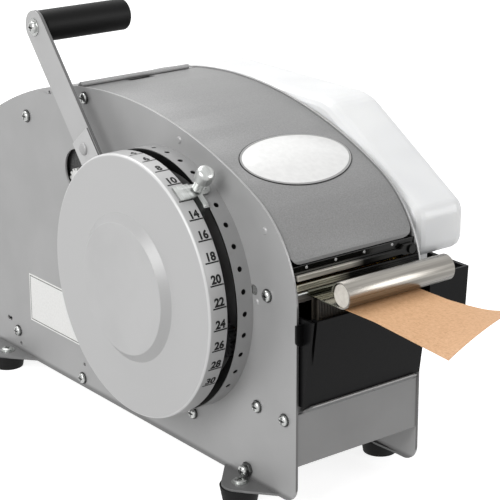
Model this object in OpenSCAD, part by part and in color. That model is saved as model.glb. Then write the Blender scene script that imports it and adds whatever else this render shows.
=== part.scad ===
// Hand-operated dispenser for water-activated (gummed) paper tape.
// Millimetres, +Z up, the tape comes out towards -Y, the lever and its length
// dial are on the -X side and the water bottle is on the +X side.
// Every piece is drawn in the frame of the left side plate: x = 0 on the plate's
// outer face, y = 0 on its front edge and z = 0 on its bottom edge. in_place()
// then moves it, so that the origin is the centre of the overall box on the table.

/* [Frame] */
// Length of the two side plates
plate_l = 488; // [480:1:496]
// Outside width over the two side plates
frame_w = 131; // [129:0.5:133]
// Thickness of the side plates
plate_t = 2; // [1.5:0.1:2.2]
// Height of the side plates at the top of their arch
plate_h = 290; // [286:1:294]
// Height of the rubber feet under the side plates
foot_h = 13; // [10:0.5:18]
// Radius of the rubber feet
foot_r = 17; // [14:0.5:19]

/* [Dial and lever] */
// Radius of the length dial and of the perforated band
dial_r = 112; // [110:0.5:114]
// Width of the gap between the band and the dial, in which the lever swings
slot_w = 7.5; // [7.2:0.1:8.5]
// Angle on the dial for one inch of tape
inch_deg = 4.67; // [4.5:0.01:4.8]
// Tape length that the stop is set to, in inches
set_inches = 12; // [11:1:14]
// Width of the lever's flat bar
arm_w = 29; // [26:0.5:30]
// Length of the grip
grip_l = 100; // [90:1:105]
// Radius of the grip
grip_r = 14; // [12:0.5:15]

/* [Tape] */
// Width of the tape, three inches
tape_w = 76.2; // [60:0.1:76.2]
// Radius of the roll of tape
roll_r = 100; // [70:1:100]
// Length of the strip that stands out in front of the side plates
strip_l = 152; // [120:1:156]

/* [Bottle and tank] */
// Width of the water bottle
bottle_w = 57; // [50:1:60]
// Length of the water bottle
bottle_l = 408; // [380:1:412]
// Height of the tank
tank_h = 74; // [70:1:76]

/* [Hidden] */

// Overall box: its middle is the origin
x_low = -51;
x_high = frame_w + 2 + bottle_w;
y_low = -strip_l;
x_mid = (x_low + x_high) / 2;
y_mid = (y_low + plate_l) / 2;

// Arch of the side plates: a large arc that runs into a smaller one at each end
arch_r = 430;
end_r = 95;
arch_y = plate_l / 2;
arch_z = plate_h - arch_r;
end_y = end_r;
end_z = arch_z + sqrt(pow(arch_r - end_r, 2) - pow(arch_y - end_y, 2));
inner_l = plate_t;
inner_r = frame_w - plate_t;
inner_w = inner_r - inner_l;

// Dial axis, and the layers outwards from the left plate
dial_y = 166.6;
dial_z = 148.1;
band_w = 15.5;
sheet_t = 2;
rim_x = -(band_w + slot_w);
rim_w = 15.5;
face_x = -45;
stud_r = 8;
run = 0.05;
arm_x = -20.2;
arm_t = 3.2;
arm_deg = 49.94;
arm_shift = 11.2;
arm_top = 254;
dial_zero = 108.7;
hub_r = 14;
bolt_r = 4;

// Gear train: wheel on the lever, pinion and wheel on a lay shaft, feed pinion
module_mm = 1.25;
wheel_teeth = 126;
pinion_teeth = 21;
transfer_teeth = 45;
feed_teeth = 21;
feed_y = 52;
feed_z = 152;
stage1 = module_mm * (wheel_teeth + pinion_teeth) / 2;
stage2 = module_mm * (transfer_teeth + feed_teeth) / 2;
span = norm([dial_y - feed_y, dial_z - feed_z]);
along = (stage1 * stage1 - stage2 * stage2 + span * span) / (2 * span);
aside = sqrt(stage1 * stage1 - along * along);
lay_y = dial_y + along * (feed_y - dial_y) / span + aside * (dial_z - feed_z) / span;
lay_z = dial_z + along * (feed_z - dial_z) / span - aside * (dial_y - feed_y) / span;
feed_r = 24.2;
press_r = 10;
press_bore = 4;
paper_t = 0.3;
press_z = feed_z + feed_r + paper_t + 0.4 + press_r;

// Tape path
tape_x = 15;
roll_y = 355;
basket_z = 27.2;
roll_z = basket_z + 0.3 + roll_r;
web_z = feed_z + feed_r + 0.15;
guide_y = 104;
guide_r = 5;
strip_z = 174.9;
blade_y = 8.05;
blade_top = 176.2;

// Pressure plate
weight_y = -37;
weight_r = 9.6;
wrap_t = 1;
plate_z = 175.6;
hinge_y = 2.2;
hinge_z = 177.6;

// Covers
cover_in = 1;
cover_t = 1.2;
cover_front = 10.5;
cover_gap = 0.8;
lip_y = 303.2;
lip_r = 2.1;
lid_hinge_y = 482.6;
lid_hinge_z = 80;
lid_rod_r = 2;

// Tank
tank_x = 8;
tank_z = 85.25;
tank_wall = 2.2;
wing_x = frame_w + 1.4;
wing_w = 34;
wing_z = 128;
rim_z = 172;
bottle_bottom = 175;

module in_place() {
    translate([-x_mid, -y_mid, foot_h]) children();
}

// Extrudes a (y, z) outline along +X from x
module slab_x(x, w) {
    translate([x, 0, 0]) rotate([90, 0, 90]) linear_extrude(height = w) children();
}

// Extrudes an (x, z) outline along +Y from y
module slab_y(y, w) {
    translate([0, y + w, 0]) rotate([90, 0, 0]) linear_extrude(height = w) children();
}

// Round bar along +X
module rod_x(x, y, z, r, w, fn = 48) {
    translate([x, y, z]) rotate([0, 90, 0]) cylinder(r = r, h = w, $fn = fn);
}

// Moves the children to the dial axis and turns them about it, so that
// +Y of the children points outwards at that dial angle
module at_dial(deg) {
    translate([0, dial_y, dial_z]) rotate([180 - deg, 0, 0]) children();
}

// Outline of the arch, moved inwards by inset
module arch_2d(inset = 0) {
    reach = 1.5;
    side = reach * (arch_y - end_y);
    translate([inset, 0]) square([plate_l - 2 * inset, end_z]);
    for (y = [end_y, plate_l - end_y])
        translate([y, end_z]) circle(r = end_r - inset, $fn = 96);
    intersection() {
        translate([arch_y, arch_z]) circle(r = arch_r - inset, $fn = 180);
        polygon([[end_y, end_z], [arch_y - side, arch_z + reach * (end_z - arch_z)],
            [arch_y + side, arch_z + reach * (end_z - arch_z)], [plate_l - end_y, end_z]]);
    }
}

module plate_2d() {
    corner_r = 15;
    difference() {
        arch_2d();
        for (side = [0, 1])
            translate([side * plate_l, 0]) mirror([side, 0]) difference() {
                translate([-1, -1]) square(corner_r + 1);
                translate([corner_r, corner_r]) circle(r = corner_r, $fn = 48);
            }
    }
}

// Places of the round-headed screws in the side plates, as [y, z]
screw_places = [[391.7, 241.7], [292.8, 277.6], [36.4, 168.1], [49.6, 69.4],
    [14.7, 69.4], [137.6, 33.7], [424.4, 21.4], [310.7, 9], [62.1, 9.5]];
small_holes = [[350.9, 271.5], [421.1, 9.3], [307.8, 23.1]];
rivet_places = [[152.5, 269.6], [40.2, 220.4], [50.6, 158.7]];
foot_y = [59, plate_l - 59];
foot_out = 11;
window = [308, 207];
screw_r = 2.5;
bush_r = 8;
// The front cover swings on the second screw, and on a low pin in the right plate
cover_pivot = screw_places[1];
// The bottle covers two of the places on the right plate
left_screws = [0:8];
right_screws = [3, 4, 5, 6, 7, 8];

// Bores for the screws of the side plates in the pieces that they fasten
module screw_bores() {
    for (p = screw_places) rod_x(-1, p[0], p[1], screw_r, frame_w + 2);
}

module foot_tab_2d(y) {
    hull() {
        translate([0, y - 37]) square([2, 72]);
        translate([-foot_out, y]) circle(r = 15.5, $fn = 48);
    }
}

// The plate with its tabs for the feet folded outwards from the bottom edge
module side_frame_shape(screws) {
    difference() {
        slab_x(0, plate_t) plate_2d();
        for (i = screws)
            rod_x(-1, screw_places[i][0], screw_places[i][1], screw_r, plate_t + 2);
        for (p = small_holes) rod_x(-1, p[0], p[1], 1.8, plate_t + 2, 24);
        for (p = [[438, 29.9], [442, 29.9]]) rod_x(-1, p[0], p[1], 2.2, plate_t + 2, 24);
    }
    for (y = foot_y)
        difference() {
            linear_extrude(height = plate_t) foot_tab_2d(y);
            translate([-foot_out, y, -1]) cylinder(r = 3.2, h = plate_t + 2, $fn = 32);
        }
}

module left_side_frame() {
    color([0.71, 0.71, 0.71]) in_place() difference() {
        side_frame_shape(left_screws);
        rod_x(-1, dial_y, dial_z, stud_r, plate_t + 2);
        rod_x(-1, lay_y, lay_z, bush_r, plate_t + 2);
        rod_x(-1, window[0], window[1], 21, plate_t + 2);
        rod_x(-1, 53.8, 167.9, 4.5, plate_t + 2);
    }
}

module right_side_frame() {
    color([0.6, 0.6, 0.6]) in_place() difference() {
        translate([frame_w, 0, 0]) mirror([1, 0, 0]) side_frame_shape(right_screws);
        rod_x(frame_w - 3, lay_y, lay_z, bush_r, plate_t + 2);
        rod_x(frame_w - 3, feed_y, feed_z, bush_r, plate_t + 2);
        rod_x(frame_w - 3, cover_pivot[0], cover_pivot[1], screw_r, plate_t + 2);
    }
}

// Front cross panel with a lip that flares forward under the tank. The lip stops
// short of both plates and its corners are round
module front_panel() {
    t = 1.5;
    lip = 7;
    top = 78;
    bottom = 33;
    lip_gap = 5;
    lip_corner = 6;
    color([0.52, 0.52, 0.53]) in_place() difference() {
        union() {
            slab_x(inner_l, inner_w) polygon([
                [1, bottom], [16, bottom], [16, bottom + t], [1 + t, bottom + t],
                [1 + t, top], [1 + t - lip, top + lip], [-lip, top + lip + 0.2],
                [-lip - 0.4, top + lip - 0.6], [1, top - 0.6]]);
            for (x = [inner_l, inner_r - t])
                slab_x(x, t) translate([1 + t, bottom + t])
                    square([18, top - bottom - t]);
        }
        screw_bores();
        for (side = [0, 1])
            translate([side * frame_w, 0, 0]) mirror([side, 0, 0])
                slab_y(-lip - 2, lip + 5) difference() {
                    translate([0, top + 0.4])
                        square([inner_l + lip_gap + lip_corner, 20]);
                    translate([inner_l + lip_gap + lip_corner, top + lip - lip_corner])
                        circle(r = lip_corner + 0.3, $fn = 48);
                    translate([inner_l + lip_gap - 0.3, top])
                        square([20, lip - lip_corner]);
                }
    }
}

// Shelf under the tank, bent down at both sides along the side plates
module tank_shelf() {
    top = 85.2;
    t = 1.2;
    color([0.5, 0.5, 0.51]) in_place() difference() {
        union() {
            translate([inner_l, 2.8, top - t]) cube([inner_w, 58, t]);
            for (x = [inner_l, inner_r - t])
                translate([x, 22, top - 24]) cube([t, 38.8, 23]);
            translate([inner_l, 2.8, top - 6]) cube([inner_w, t, 5]);
        }
        screw_bores();
    }
}

// Tray that closes the bottom between the side plates
module base_pan() {
    t = 1.2;
    from = 130;
    l = 342;
    low = 5;
    h = 20.5;
    color([0.55, 0.55, 0.56]) in_place() difference() {
        translate([inner_l, from, low]) cube([inner_w, l, h]);
        translate([inner_l + t, from + t, low + t])
            cube([inner_w - 2 * t, l - 2 * t, h]);
        screw_bores();
    }
}

module rear_panel() {
    t = 1.4;
    low = 6;
    h = 67;
    color([0.66, 0.66, 0.66]) in_place() {
        translate([inner_l, plate_l - 2 - t, low]) cube([inner_w, t, h]);
        translate([inner_l, plate_l - 9, low]) cube([inner_w, 7, t]);
        for (x = [inner_l, inner_r - t])
            translate([x, plate_l - 15, low + 1]) cube([t, 13, h - 3]);
    }
}

// Sheet cradle in which the roll of tape lies; its ends rest on the tie rods
basket_r = 111;
basket_t = 1.2;
rod_r = 4;
rod_deg = 18.5;
rod_reach = basket_r + basket_t + rod_r;
rod_places = [[roll_y - rod_reach * cos(rod_deg), basket_z + basket_r - rod_reach * sin(rod_deg)],
    [roll_y + rod_reach * cos(rod_deg), basket_z + basket_r - rod_reach * sin(rod_deg)],
    [200, 40]];

module tape_basket() {
    middle = basket_z + basket_r;
    color([0.62, 0.62, 0.63]) in_place() difference() {
        rod_x(inner_l, roll_y, middle, basket_r + basket_t, inner_w, 120);
        rod_x(inner_l - 1, roll_y, middle, basket_r, inner_w + 2, 120);
        translate([inner_l - 1, roll_y - 200, middle - 34]) cube([inner_w + 2, 400, 300]);
    }
}

module tie_rods() {
    color([0.75, 0.75, 0.77]) in_place()
        for (p = rod_places) rod_x(inner_l, p[0], p[1], rod_r, inner_w);
}

// Rod low at the rear on which the lid over the roll swings back, under the grip
module cover_hinge_rod() {
    color([0.75, 0.75, 0.77]) in_place()
        rod_x(inner_l, lid_hinge_y, lid_hinge_z, lid_rod_r, inner_w);
}

module rubber_feet() {
    color([0.08, 0.08, 0.08]) in_place()
        for (x = [-foot_out, frame_w + foot_out]) for (y = foot_y)
            translate([x, y, -foot_h]) difference() {
                cylinder(r1 = foot_r - 2.5, r2 = foot_r, h = foot_h, $fn = 64);
                translate([0, 0, 3]) cylinder(r = 2.9, h = foot_h, $fn = 32);
            }
}

module foot_screws() {
    color([0.8, 0.8, 0.82]) in_place()
        for (x = [-foot_out, frame_w + foot_out]) for (y = foot_y)
            translate([x, y, 0]) {
                translate([0, 0, -9]) cylinder(r = 2.8, h = 9 + plate_t, $fn = 32);
                translate([0, 0, plate_t]) cylinder(r = 7.5, h = 1.2, $fn = 32);
                translate([0, 0, plate_t + 1.2]) cylinder(r1 = 5.6, r2 = 4, h = 3.2, $fn = 32);
            }
}

// Pan head with a cross recess, its axis along -X from the origin
module pan_screw(r = 4.6, h = 2.8) {
    rotate([0, -90, 0]) difference() {
        rotate_extrude($fn = 40) difference() {
            union() {
                square([r, h * 0.45]);
                translate([0, h * 0.45]) scale([r, h * 0.55]) intersection() {
                    circle(r = 1, $fn = 40);
                    square(1);
                }
            }
        }
        translate([-0.45, -r * 0.5, h * 0.55]) cube([0.9, r, h]);
        translate([-r * 0.5, -0.45, h * 0.55]) cube([r, 0.9, h]);
    }
}

module hex_nut(across = 9, h = 3.4) {
    rotate([0, -90, 0]) cylinder(d = across / cos(30), h = h, $fn = 6);
}

module side_screws(screws) {
    for (i = screws) {
        p = screw_places[i];
        translate([0, p[0], p[1]]) {
            translate([-1, 0, 0]) pan_screw();
            rod_x(-1, 0, 0, screw_r, 7, 24);
            rod_x(-1, 0, 0, i == 0 ? 7 : 5.4, 1, 40);
        }
    }
}

module frame_screws() {
    color([0.84, 0.84, 0.86]) in_place() {
        side_screws(left_screws);
        translate([frame_w, 0, 0]) mirror([1, 0, 0]) side_screws(right_screws);
        rod_x(0.4, 53.8, 167.9, 4.5, 2.6, 32);
        rod_x(frame_w - 7, cover_pivot[0], cover_pivot[1], screw_r, 7, 24);
        rod_x(frame_w, cover_pivot[0], cover_pivot[1], 4.6, 0.9, 32);
        for (p = [rod_places[0], rod_places[1]])
            translate([frame_w, p[0], p[1]]) mirror([1, 0, 0]) hex_nut();
        translate([0, rod_places[1][0], rod_places[1][1]]) hex_nut();
    }
}

module frame_rivets() {
    guard_rivets = 4;
    color([0.72, 0.72, 0.72]) in_place() {
        for (p = rivet_places) translate([0, p[0], p[1]])
            rotate([0, -90, 0]) cylinder(r1 = 3.2, r2 = 2.2, h = 1, $fn = 24);
        for (p = [rivet_places[0], rivet_places[1]]) translate([frame_w, p[0], p[1]])
            rotate([0, 90, 0]) cylinder(r1 = 3.2, r2 = 2.2, h = 1, $fn = 24);
        for (i = [0:guard_rivets - 1])
            translate([16.5 + 29.5 * i, 8.6, guard_top - 2.2]) rotate([90, 0, 0])
                cylinder(r1 = 1.3, r2 = 0.9, h = 0.5, $fn = 24);
    }
}

module side_label() {
    color([0.93, 0.93, 0.93]) in_place()
        translate([-0.3, 306, 40]) cube([0.3, 94, 47]);
}

// Fixed band with one hole for each two inches; its flange is against the plate
band_holes = 15;
hole_first = 94.8;
hole_step = 9.43;
flange_t = 1.5;

module dial_band() {
    color([0.6, 0.6, 0.61]) in_place() translate([0, dial_y, dial_z]) difference() {
        rod_x(-band_w, 0, 0, dial_r, band_w, 144);
        rod_x(-band_w - 1, 0, 0, dial_r - sheet_t, band_w + 1 - flange_t, 144);
        rod_x(-4, 0, 0, dial_r - 18, 6, 96);
        rod_x(-4, lay_y - dial_y, lay_z - dial_z, bush_r, 6, 48);
        for (i = [0:band_holes - 1])
            rotate([180 - (hole_first - hole_step * i), 0, 0])
                translate([-8.5, dial_r - 6, 0]) rotate([-90, 0, 0])
                    cylinder(r = 2.3, h = 8, $fn = 20);
    }
}

// Drawn dish with a rounded edge and a raised middle; its rim carries the scale
module dial_cover() {
    edge_r = 7;
    plateau_r = 63.5;
    plateau_top = 56;
    rise = 6;
    t = 1.6;
    color([0.73, 0.73, 0.73]) in_place() translate([rim_x, dial_y, dial_z]) rotate([0, -90, 0])
        rotate_extrude($fn = 144) difference() {
            union() {
                square([dial_r - edge_r, -face_x + rim_x]);
                square([dial_r, rim_w]);
                translate([dial_r - edge_r, rim_w]) circle(r = edge_r, $fn = 64);
                polygon([[0, -face_x + rim_x - 1], [plateau_r, -face_x + rim_x - 1],
                    [plateau_r, -face_x + rim_x], [plateau_top, -face_x + rim_x + rise],
                    [0, -face_x + rim_x + rise]]);
            }
            translate([0, -1]) square([dial_r - t, rim_w + 1]);
            translate([0, -1]) square([dial_r - edge_r, -face_x + rim_x - t + 1]);
            translate([dial_r - edge_r, rim_w]) intersection() {
                circle(r = edge_r - t, $fn = 64);
                square(edge_r);
            }
            polygon([[-0.1, 0], [plateau_r - t, 0], [plateau_r - t, -face_x + rim_x - t / 2],
                [plateau_top - t, -face_x + rim_x + rise - t],
                [-0.1, -face_x + rim_x + rise - t]]);
            translate([-300, -50]) square([300, 200]);
        }
}

// Spacers that hold the dial away from the plate, clear of the lever's path
module dial_posts() {
    post_r = 99;
    color([0.7, 0.7, 0.72]) in_place()
        for (deg = [-65, -115, -165]) at_dial(deg)
            rod_x(face_x + 1.6, post_r, 0, 5, -face_x - 1.6 - flange_t, 40);
}

module dial_stud() {
    color([0.7, 0.7, 0.72]) in_place() translate([0, dial_y, dial_z]) {
        rod_x(-28, 0, 0, stud_r, 32);
        rod_x(-31, 0, 0, stud_r + 4, 3);
        rod_x(plate_t, 0, 0, stud_r + 5, 4);
    }
}

// Flanged bushes in the plates, and a blind one inside the left plate: the band
// covers the feed shaft's end there
shaft_r = 5;

module bushings() {
    color([0.72, 0.55, 0.3]) in_place() {
        for (p = [[0, lay_y, lay_z, 0], [frame_w, lay_y, lay_z, 1], [frame_w, feed_y, feed_z, 1]])
            translate([p[0], p[1], p[2]]) mirror([p[3], 0, 0]) difference() {
                union() {
                    rod_x(0, 0, 0, bush_r, plate_t + 1.2, 40);
                    rod_x(plate_t, 0, 0, bush_r + 1.5, 1.2, 40);
                }
                rod_x(-1, 0, 0, shaft_r + run, plate_t + 4, 40);
            }
        difference() {
            rod_x(inner_l, feed_y, feed_z, bush_r + 1.5, 1.8, 40);
            rod_x(0, feed_y, feed_z, shaft_r + run, 6, 40);
        }
    }
}

// Fixed blade: the tape runs out over its top edge
module lower_blade() {
    color([0.82, 0.82, 0.84]) in_place() {
        slab_x(inner_l, inner_w) polygon([[blade_y, 168], [blade_y + 4, 168],
            [blade_y + 4, blade_top - 0.8], [blade_y, blade_top]]);
    }
}

// Dark cross-member above the mouth that carries the moving blade's pivot
guard_top = 198;

module blade_guard() {
    color([0.16, 0.16, 0.17]) in_place() difference() {
        slab_x(inner_l, inner_w) polygon([[8.6, 184], [12, 184], [12, guard_top - 2],
            [20, guard_top - 2], [20, guard_top], [8.6, guard_top]]);
        translate([122, 3, 190]) rotate([-90, 0, 0]) cylinder(r = 2.5, h = 20, $fn = 32);
    }
}

module blade_pivot() {
    color([0.7, 0.7, 0.72]) in_place() translate([122, 0, 190]) {
        translate([0, 3.2, 0]) rotate([-90, 0, 0]) cylinder(r = 2.5, h = 10, $fn = 32);
        translate([0, 2.6, 0]) rotate([-90, 0, 0]) cylinder(r = 3.6, h = 1.4, $fn = 32);
    }
}

// Side guides that keep the tape on its line: they slide on a cross rod, and a
// spring against the rod's collar pushes the right-hand one
spring_y = 18;
spring_z = 181;
cross_rod_r = 2;

module tape_guides() {
    color([0.7, 0.55, 0.28]) in_place() {
        for (x = [tape_x - 2, tape_x + tape_w + 0.8])
            slab_x(x, 1.2)
                polygon([[12.05, 168], [22, 168], [22, 180], [18, 186], [12.05, 186]]);
        rod_x(inner_l, spring_y, spring_z, cross_rod_r, inner_w, 32);
        rod_x(spring_x + spring_l + 0.6, spring_y, spring_z, 4.5, 3, 32);
    }
}

module guide_bar() {
    color([0.75, 0.75, 0.77]) in_place()
        rod_x(inner_l, guide_y, web_z + paper_t + guide_r + 0.3, guide_r, inner_w);
}

// Spring on the rod of the right-hand guide, one unbroken wire
spring_curls = 6;
spring_rings = 8 * spring_curls;
spring_r = 3.4;
wire_r = 0.45;
spring_x = tape_x + tape_w + 2.6;
spring_l = 16;

function spring_point(i) = let (u = i / spring_rings, a = 360 * spring_curls * u)
    [spring_x + spring_l * u, spring_y + spring_r * cos(a), spring_z + spring_r * sin(a)];

module tube(points, r, sides) {
    n = len(points);
    rings = [for (i = [0:n - 1])
        let (
            ahead = points[min(i + 1, n - 1)] - points[max(i - 1, 0)],
            dir = ahead / norm(ahead),
            across = cross(dir, [1, 0, 0]),
            u = across / norm(across),
            v = cross(dir, u)
        )
        for (k = [0:sides - 1])
            points[i] + r * cos(360 * k / sides) * u + r * sin(360 * k / sides) * v];
    sides_faces = [for (i = [0:n - 2]) for (k = [0:sides - 1])
        let (a = i * sides + k, b = i * sides + (k + 1) % sides)
        each [[a, b, b + sides], [a, b + sides, a + sides]]];
    first_cap = [for (k = [1:sides - 2]) [0, k + 1, k]];
    last = (n - 1) * sides;
    last_cap = [for (k = [1:sides - 2]) [last, last + k, last + k + 1]];
    polyhedron(points = rings, faces = concat(sides_faces, first_cap, last_cap));
}

module guide_spring() {
    color([0.78, 0.6, 0.25]) in_place()
        tube([for (i = [0:spring_rings]) spring_point(i)], wire_r, 6);
}

module plate_hinge_rod() {
    color([0.75, 0.75, 0.77]) in_place()
        rod_x(inner_l, hinge_y, hinge_z, 1.15, inner_w, 32);
}

// Ledge on the right plate that the bottle stands on
module bottle_bracket() {
    ledge = bottle_bottom - 0.1;
    from = 90;
    l = 260;
    color([0.6, 0.6, 0.6]) in_place() {
        translate([frame_w, from, ledge - 1.6]) cube([46, l, 1.6]);
        translate([frame_w, from, ledge - 22]) cube([1.6, l, 22]);
        translate([frame_w + 44.4, from, ledge - 7]) cube([1.6, l, 7]);
        for (y = [from + 20, from + l - 22]) slab_y(y, 1.6) polygon([
            [frame_w + 1, ledge - 20], [frame_w + 1, ledge - 1], [frame_w + 40, ledge - 1]]);
    }
}

// Local frame of the lever's bar: +Y of the children runs along the bar
module along_arm() {
    translate([0, dial_y, dial_z]) rotate([arm_deg, 0, 0]) translate([0, 0, -arm_shift])
        children();
}

module arm_2d(from, to) {
    translate([from, -arm_w / 2]) square([to - from, arm_w]);
}

module lever_arm() {
    color([0.74, 0.74, 0.74]) in_place() difference() {
        along_arm() slab_x(arm_x, arm_t) {
            hull() {
                arm_2d(0, 1);
                translate([arm_top, 0]) circle(r = arm_w / 2, $fn = 64);
            }
            translate([0, arm_shift]) circle(r = 32, $fn = 96);
        }
        translate([0, dial_y, dial_z]) rod_x(arm_x - 1, 0, 0, hub_r, arm_t + 2);
        along_arm() rod_x(arm_x - 1, arm_top, 0, bolt_r, arm_t + 2, 32);
    }
}

module arm_doubler() {
    t = 1.9;
    color([0.78, 0.78, 0.78]) in_place() difference() {
        along_arm() slab_x(arm_x - t, t) {
            arm_2d(5, 145.7);
            translate([0, arm_shift]) circle(r = 24, $fn = 96);
        }
        translate([0, dial_y, dial_z]) rod_x(arm_x - t - 1, 0, 0, hub_r, t + 2);
    }
}

// Rivet of the doubler and the bolt, washer and nut of the grip
module lever_fasteners() {
    color([0.85, 0.85, 0.87]) in_place() along_arm() {
        translate([arm_x - 1.9, 133.4, -1]) rotate([0, -90, 0])
            cylinder(r1 = 4.6, r2 = 3.4, h = 0.9, $fn = 32);
        translate([arm_x - 1.2, arm_top, 0]) {
            rod_x(0, 0, 0, 7, 1.2, 40);
            pan_screw(5.4, 3.2);
        }
        rod_x(arm_x, arm_top, 0, bolt_r, arm_t + grip_l, 40);
        rod_x(arm_x + arm_t + grip_l - 3, arm_top, 0, 7.5, 3, 40);
    }
}

// One tooth flank as an involute, from the root to the tip
function inv_angle(base, r) = r <= base ? 0 :
    sqrt(r * r / (base * base) - 1) * 180 / PI - acos(base / r);

function flank(teeth, r, play) =
    let (pitch = module_mm * teeth / 2, base = pitch * cos(20),
        half = 90 / teeth - play / pitch * 90 / PI + inv_angle(base, pitch))
    half - inv_angle(base, r);

module gear_2d(teeth, play = 0.1) {
    pitch = module_mm * teeth / 2;
    root = pitch - 1.25 * module_mm;
    tip = pitch + 0.95 * module_mm;
    radii = [root, max(root + 0.2, pitch * cos(20)), pitch, tip];
    polygon([for (i = [0:teeth - 1]) each concat(
        [for (r = radii) let (a = 360 * i / teeth - flank(teeth, r, play))
            [r * cos(a), r * sin(a)]],
        [for (k = [len(radii) - 1:-1:0]) let (r = radii[k],
            a = 360 * i / teeth + flank(teeth, r, play))
            [r * cos(a), r * sin(a)]])]);
}

// Direction from one shaft to the next, in the plane of the side plates
mesh1 = atan2(lay_z - dial_z, lay_y - dial_y);
mesh2 = atan2(feed_z - lay_z, feed_y - lay_y);

module drive_gear() {
    windows = 6;
    color([0.45, 0.45, 0.47]) in_place() translate([0, dial_y, dial_z]) difference() {
        slab_x(-13, 6) rotate(mesh1) gear_2d(wheel_teeth);
        rod_x(-14, 0, 0, hub_r, 8);
        for (i = [0:windows - 1]) rotate([i * 360 / windows, 0, 0])
            rod_x(-14, 46, 0, 15, 8);
    }
}

module lever_hub() {
    color([0.7, 0.7, 0.72]) in_place() translate([0, dial_y, dial_z]) difference() {
        union() {
            rod_x(-23.5, 0, 0, hub_r, 21);
            rod_x(-17, 0, 0, 22, 4);
        }
        rod_x(-30, 0, 0, stud_r + run, 34);
    }
}

module handle_grip() {
    start = arm_x + arm_t + 0.8;
    color([0.07, 0.07, 0.07]) in_place() along_arm() translate([start, arm_top, 0])
        rotate([0, 90, 0]) rotate_extrude($fn = 72) difference() {
            union() {
                square([grip_r - 3, grip_l]);
                translate([0, 3]) square([grip_r, grip_l - 6]);
                for (z = [3, grip_l - 3]) translate([grip_r - 3, z]) circle(r = 3, $fn = 32);
            }
            translate([-1, -1]) square([1 + bolt_r + run, grip_l + 2]);
            translate([-20, -5]) square([20, grip_l + 10]);
            translate([-1, grip_l - 5]) square([9.5, 10]);
        }
}

// Saddle over the scale, with the tongue in the slot that stops the lever.
// In the dial's frame at the stop: y outwards, z forwards along the rim
stop_deg = dial_zero - inch_deg * set_inches;
stop_t = 1.8;
stop_l = 14.5;
lift = 0.3;
tongue_x = rim_x + 1.2;
tongue_w = slot_w - 2.4;
screw_x = tongue_x + tongue_w / 2;
screw_back = 6.6;

// Part of a thin ring round the dial, stop_l long, from the stop's mark back
module saddle_ring(x, w, back, l) {
    intersection() {
        difference() {
            rod_x(x, 0, 0, dial_r + lift + stop_t, w, 144);
            rod_x(x - 1, 0, 0, dial_r + lift, w + 2, 144);
        }
        translate([x, 90, -back]) cube([w, 40, l]);
    }
}

module length_stop() {
    scale_w = 15.2;
    tail = 11;
    nose_r = 3.4;
    color([0.8, 0.82, 0.8]) in_place() at_dial(stop_deg) difference() {
        union() {
            saddle_ring(rim_x - scale_w, scale_w, stop_l, stop_l);
            saddle_ring(rim_x - 1, 11.5, stop_l - 1.5, stop_l - 2.5);
            intersection() {
                saddle_ring(rim_x + 10, 6.5, stop_l, stop_l);
                translate([rim_x + 10.5, 90, -screw_back - 0.7]) rotate([-90, 0, 0])
                    cylinder(r = 6, h = 40, $fn = 48);
            }
            translate([tongue_x, dial_r - 13, 1.5 - stop_l])
                cube([tongue_w, 13 + lift + 0.5, stop_l - 1.5 + tail]);
            translate([tongue_x, dial_r - nose_r, -2])
                cube([tongue_w, nose_r + lift + stop_t, tail + 2 - nose_r]);
            rod_x(tongue_x, dial_r + lift + stop_t - nose_r, tail - nose_r, nose_r, tongue_w);
            translate([rim_x + 11, dial_r + lift + stop_t - 0.5, -screw_back - 0.7])
                rotate([-90, 0, 0]) cylinder(r1 = 2.6, r2 = 1.9, h = 1.4, $fn = 32);
        }
        translate([screw_x, 90, -screw_back]) rotate([-90, 0, 0])
            cylinder(r = 2.05, h = 40, $fn = 32);
    }
}

// Clamping screw: a threaded tip, a grooved collar and a domed head for the thumb
module thumb_screw() {
    grooves = 5;
    collar_r = 4.2;
    head_r = 7.4;
    dome_r = 4;
    head_from = 27;
    head_h = 11;
    color([0.85, 0.85, 0.86]) in_place() at_dial(stop_deg)
        translate([screw_x, dial_r - 12, -screw_back]) rotate([-90, 0, 0])
            rotate_extrude($fn = 72) difference() {
                union() {
                    square([2, head_from + 1]);
                    translate([0, 15.5]) square([collar_r, head_from - 15]);
                    polygon([[0, head_from - 2.5], [collar_r, head_from - 2.5], [head_r, head_from],
                        [head_r, head_from + head_h - dome_r],
                        [head_r - dome_r, head_from + head_h - dome_r],
                        [head_r - dome_r, head_from + head_h], [0, head_from + head_h]]);
                    translate([head_r - dome_r, head_from + head_h - dome_r])
                        circle(r = dome_r, $fn = 48);
                }
                for (i = [0:grooves - 1]) translate([collar_r + 0.35, 17 + 1.6 * i])
                    circle(r = 0.7, $fn = 16);
                translate([-20, -1]) square([20, 60]);
            }
}

module transfer_shaft() {
    color([0.75, 0.75, 0.77]) in_place() rod_x(-15, lay_y, lay_z, shaft_r, frame_w + 15);
}

module transfer_pinion() {
    color([0.45, 0.45, 0.47]) in_place() translate([0, lay_y, lay_z]) difference() {
        slab_x(-14, 8) rotate(mesh1 + 180 + 180 / pinion_teeth) gear_2d(pinion_teeth);
        rod_x(-15, 0, 0, 5, 10);
    }
}

module transfer_gear() {
    windows = 5;
    color([0.45, 0.45, 0.47]) in_place() translate([0, lay_y, lay_z]) difference() {
        union() {
            slab_x(4.5, 5) rotate(mesh2) gear_2d(transfer_teeth);
            rod_x(3.6, 0, 0, 10, 7);
        }
        rod_x(3, 0, 0, 5, 9);
        for (i = [0:windows - 1]) rotate([i * 360 / windows, 0, 0])
            rod_x(3, 17.5, 0, 5, 8, 32);
    }
}

module feed_shaft() {
    color([0.75, 0.75, 0.77]) in_place() rod_x(inner_l + 0.1, feed_y, feed_z, shaft_r, inner_r);
}

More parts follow.
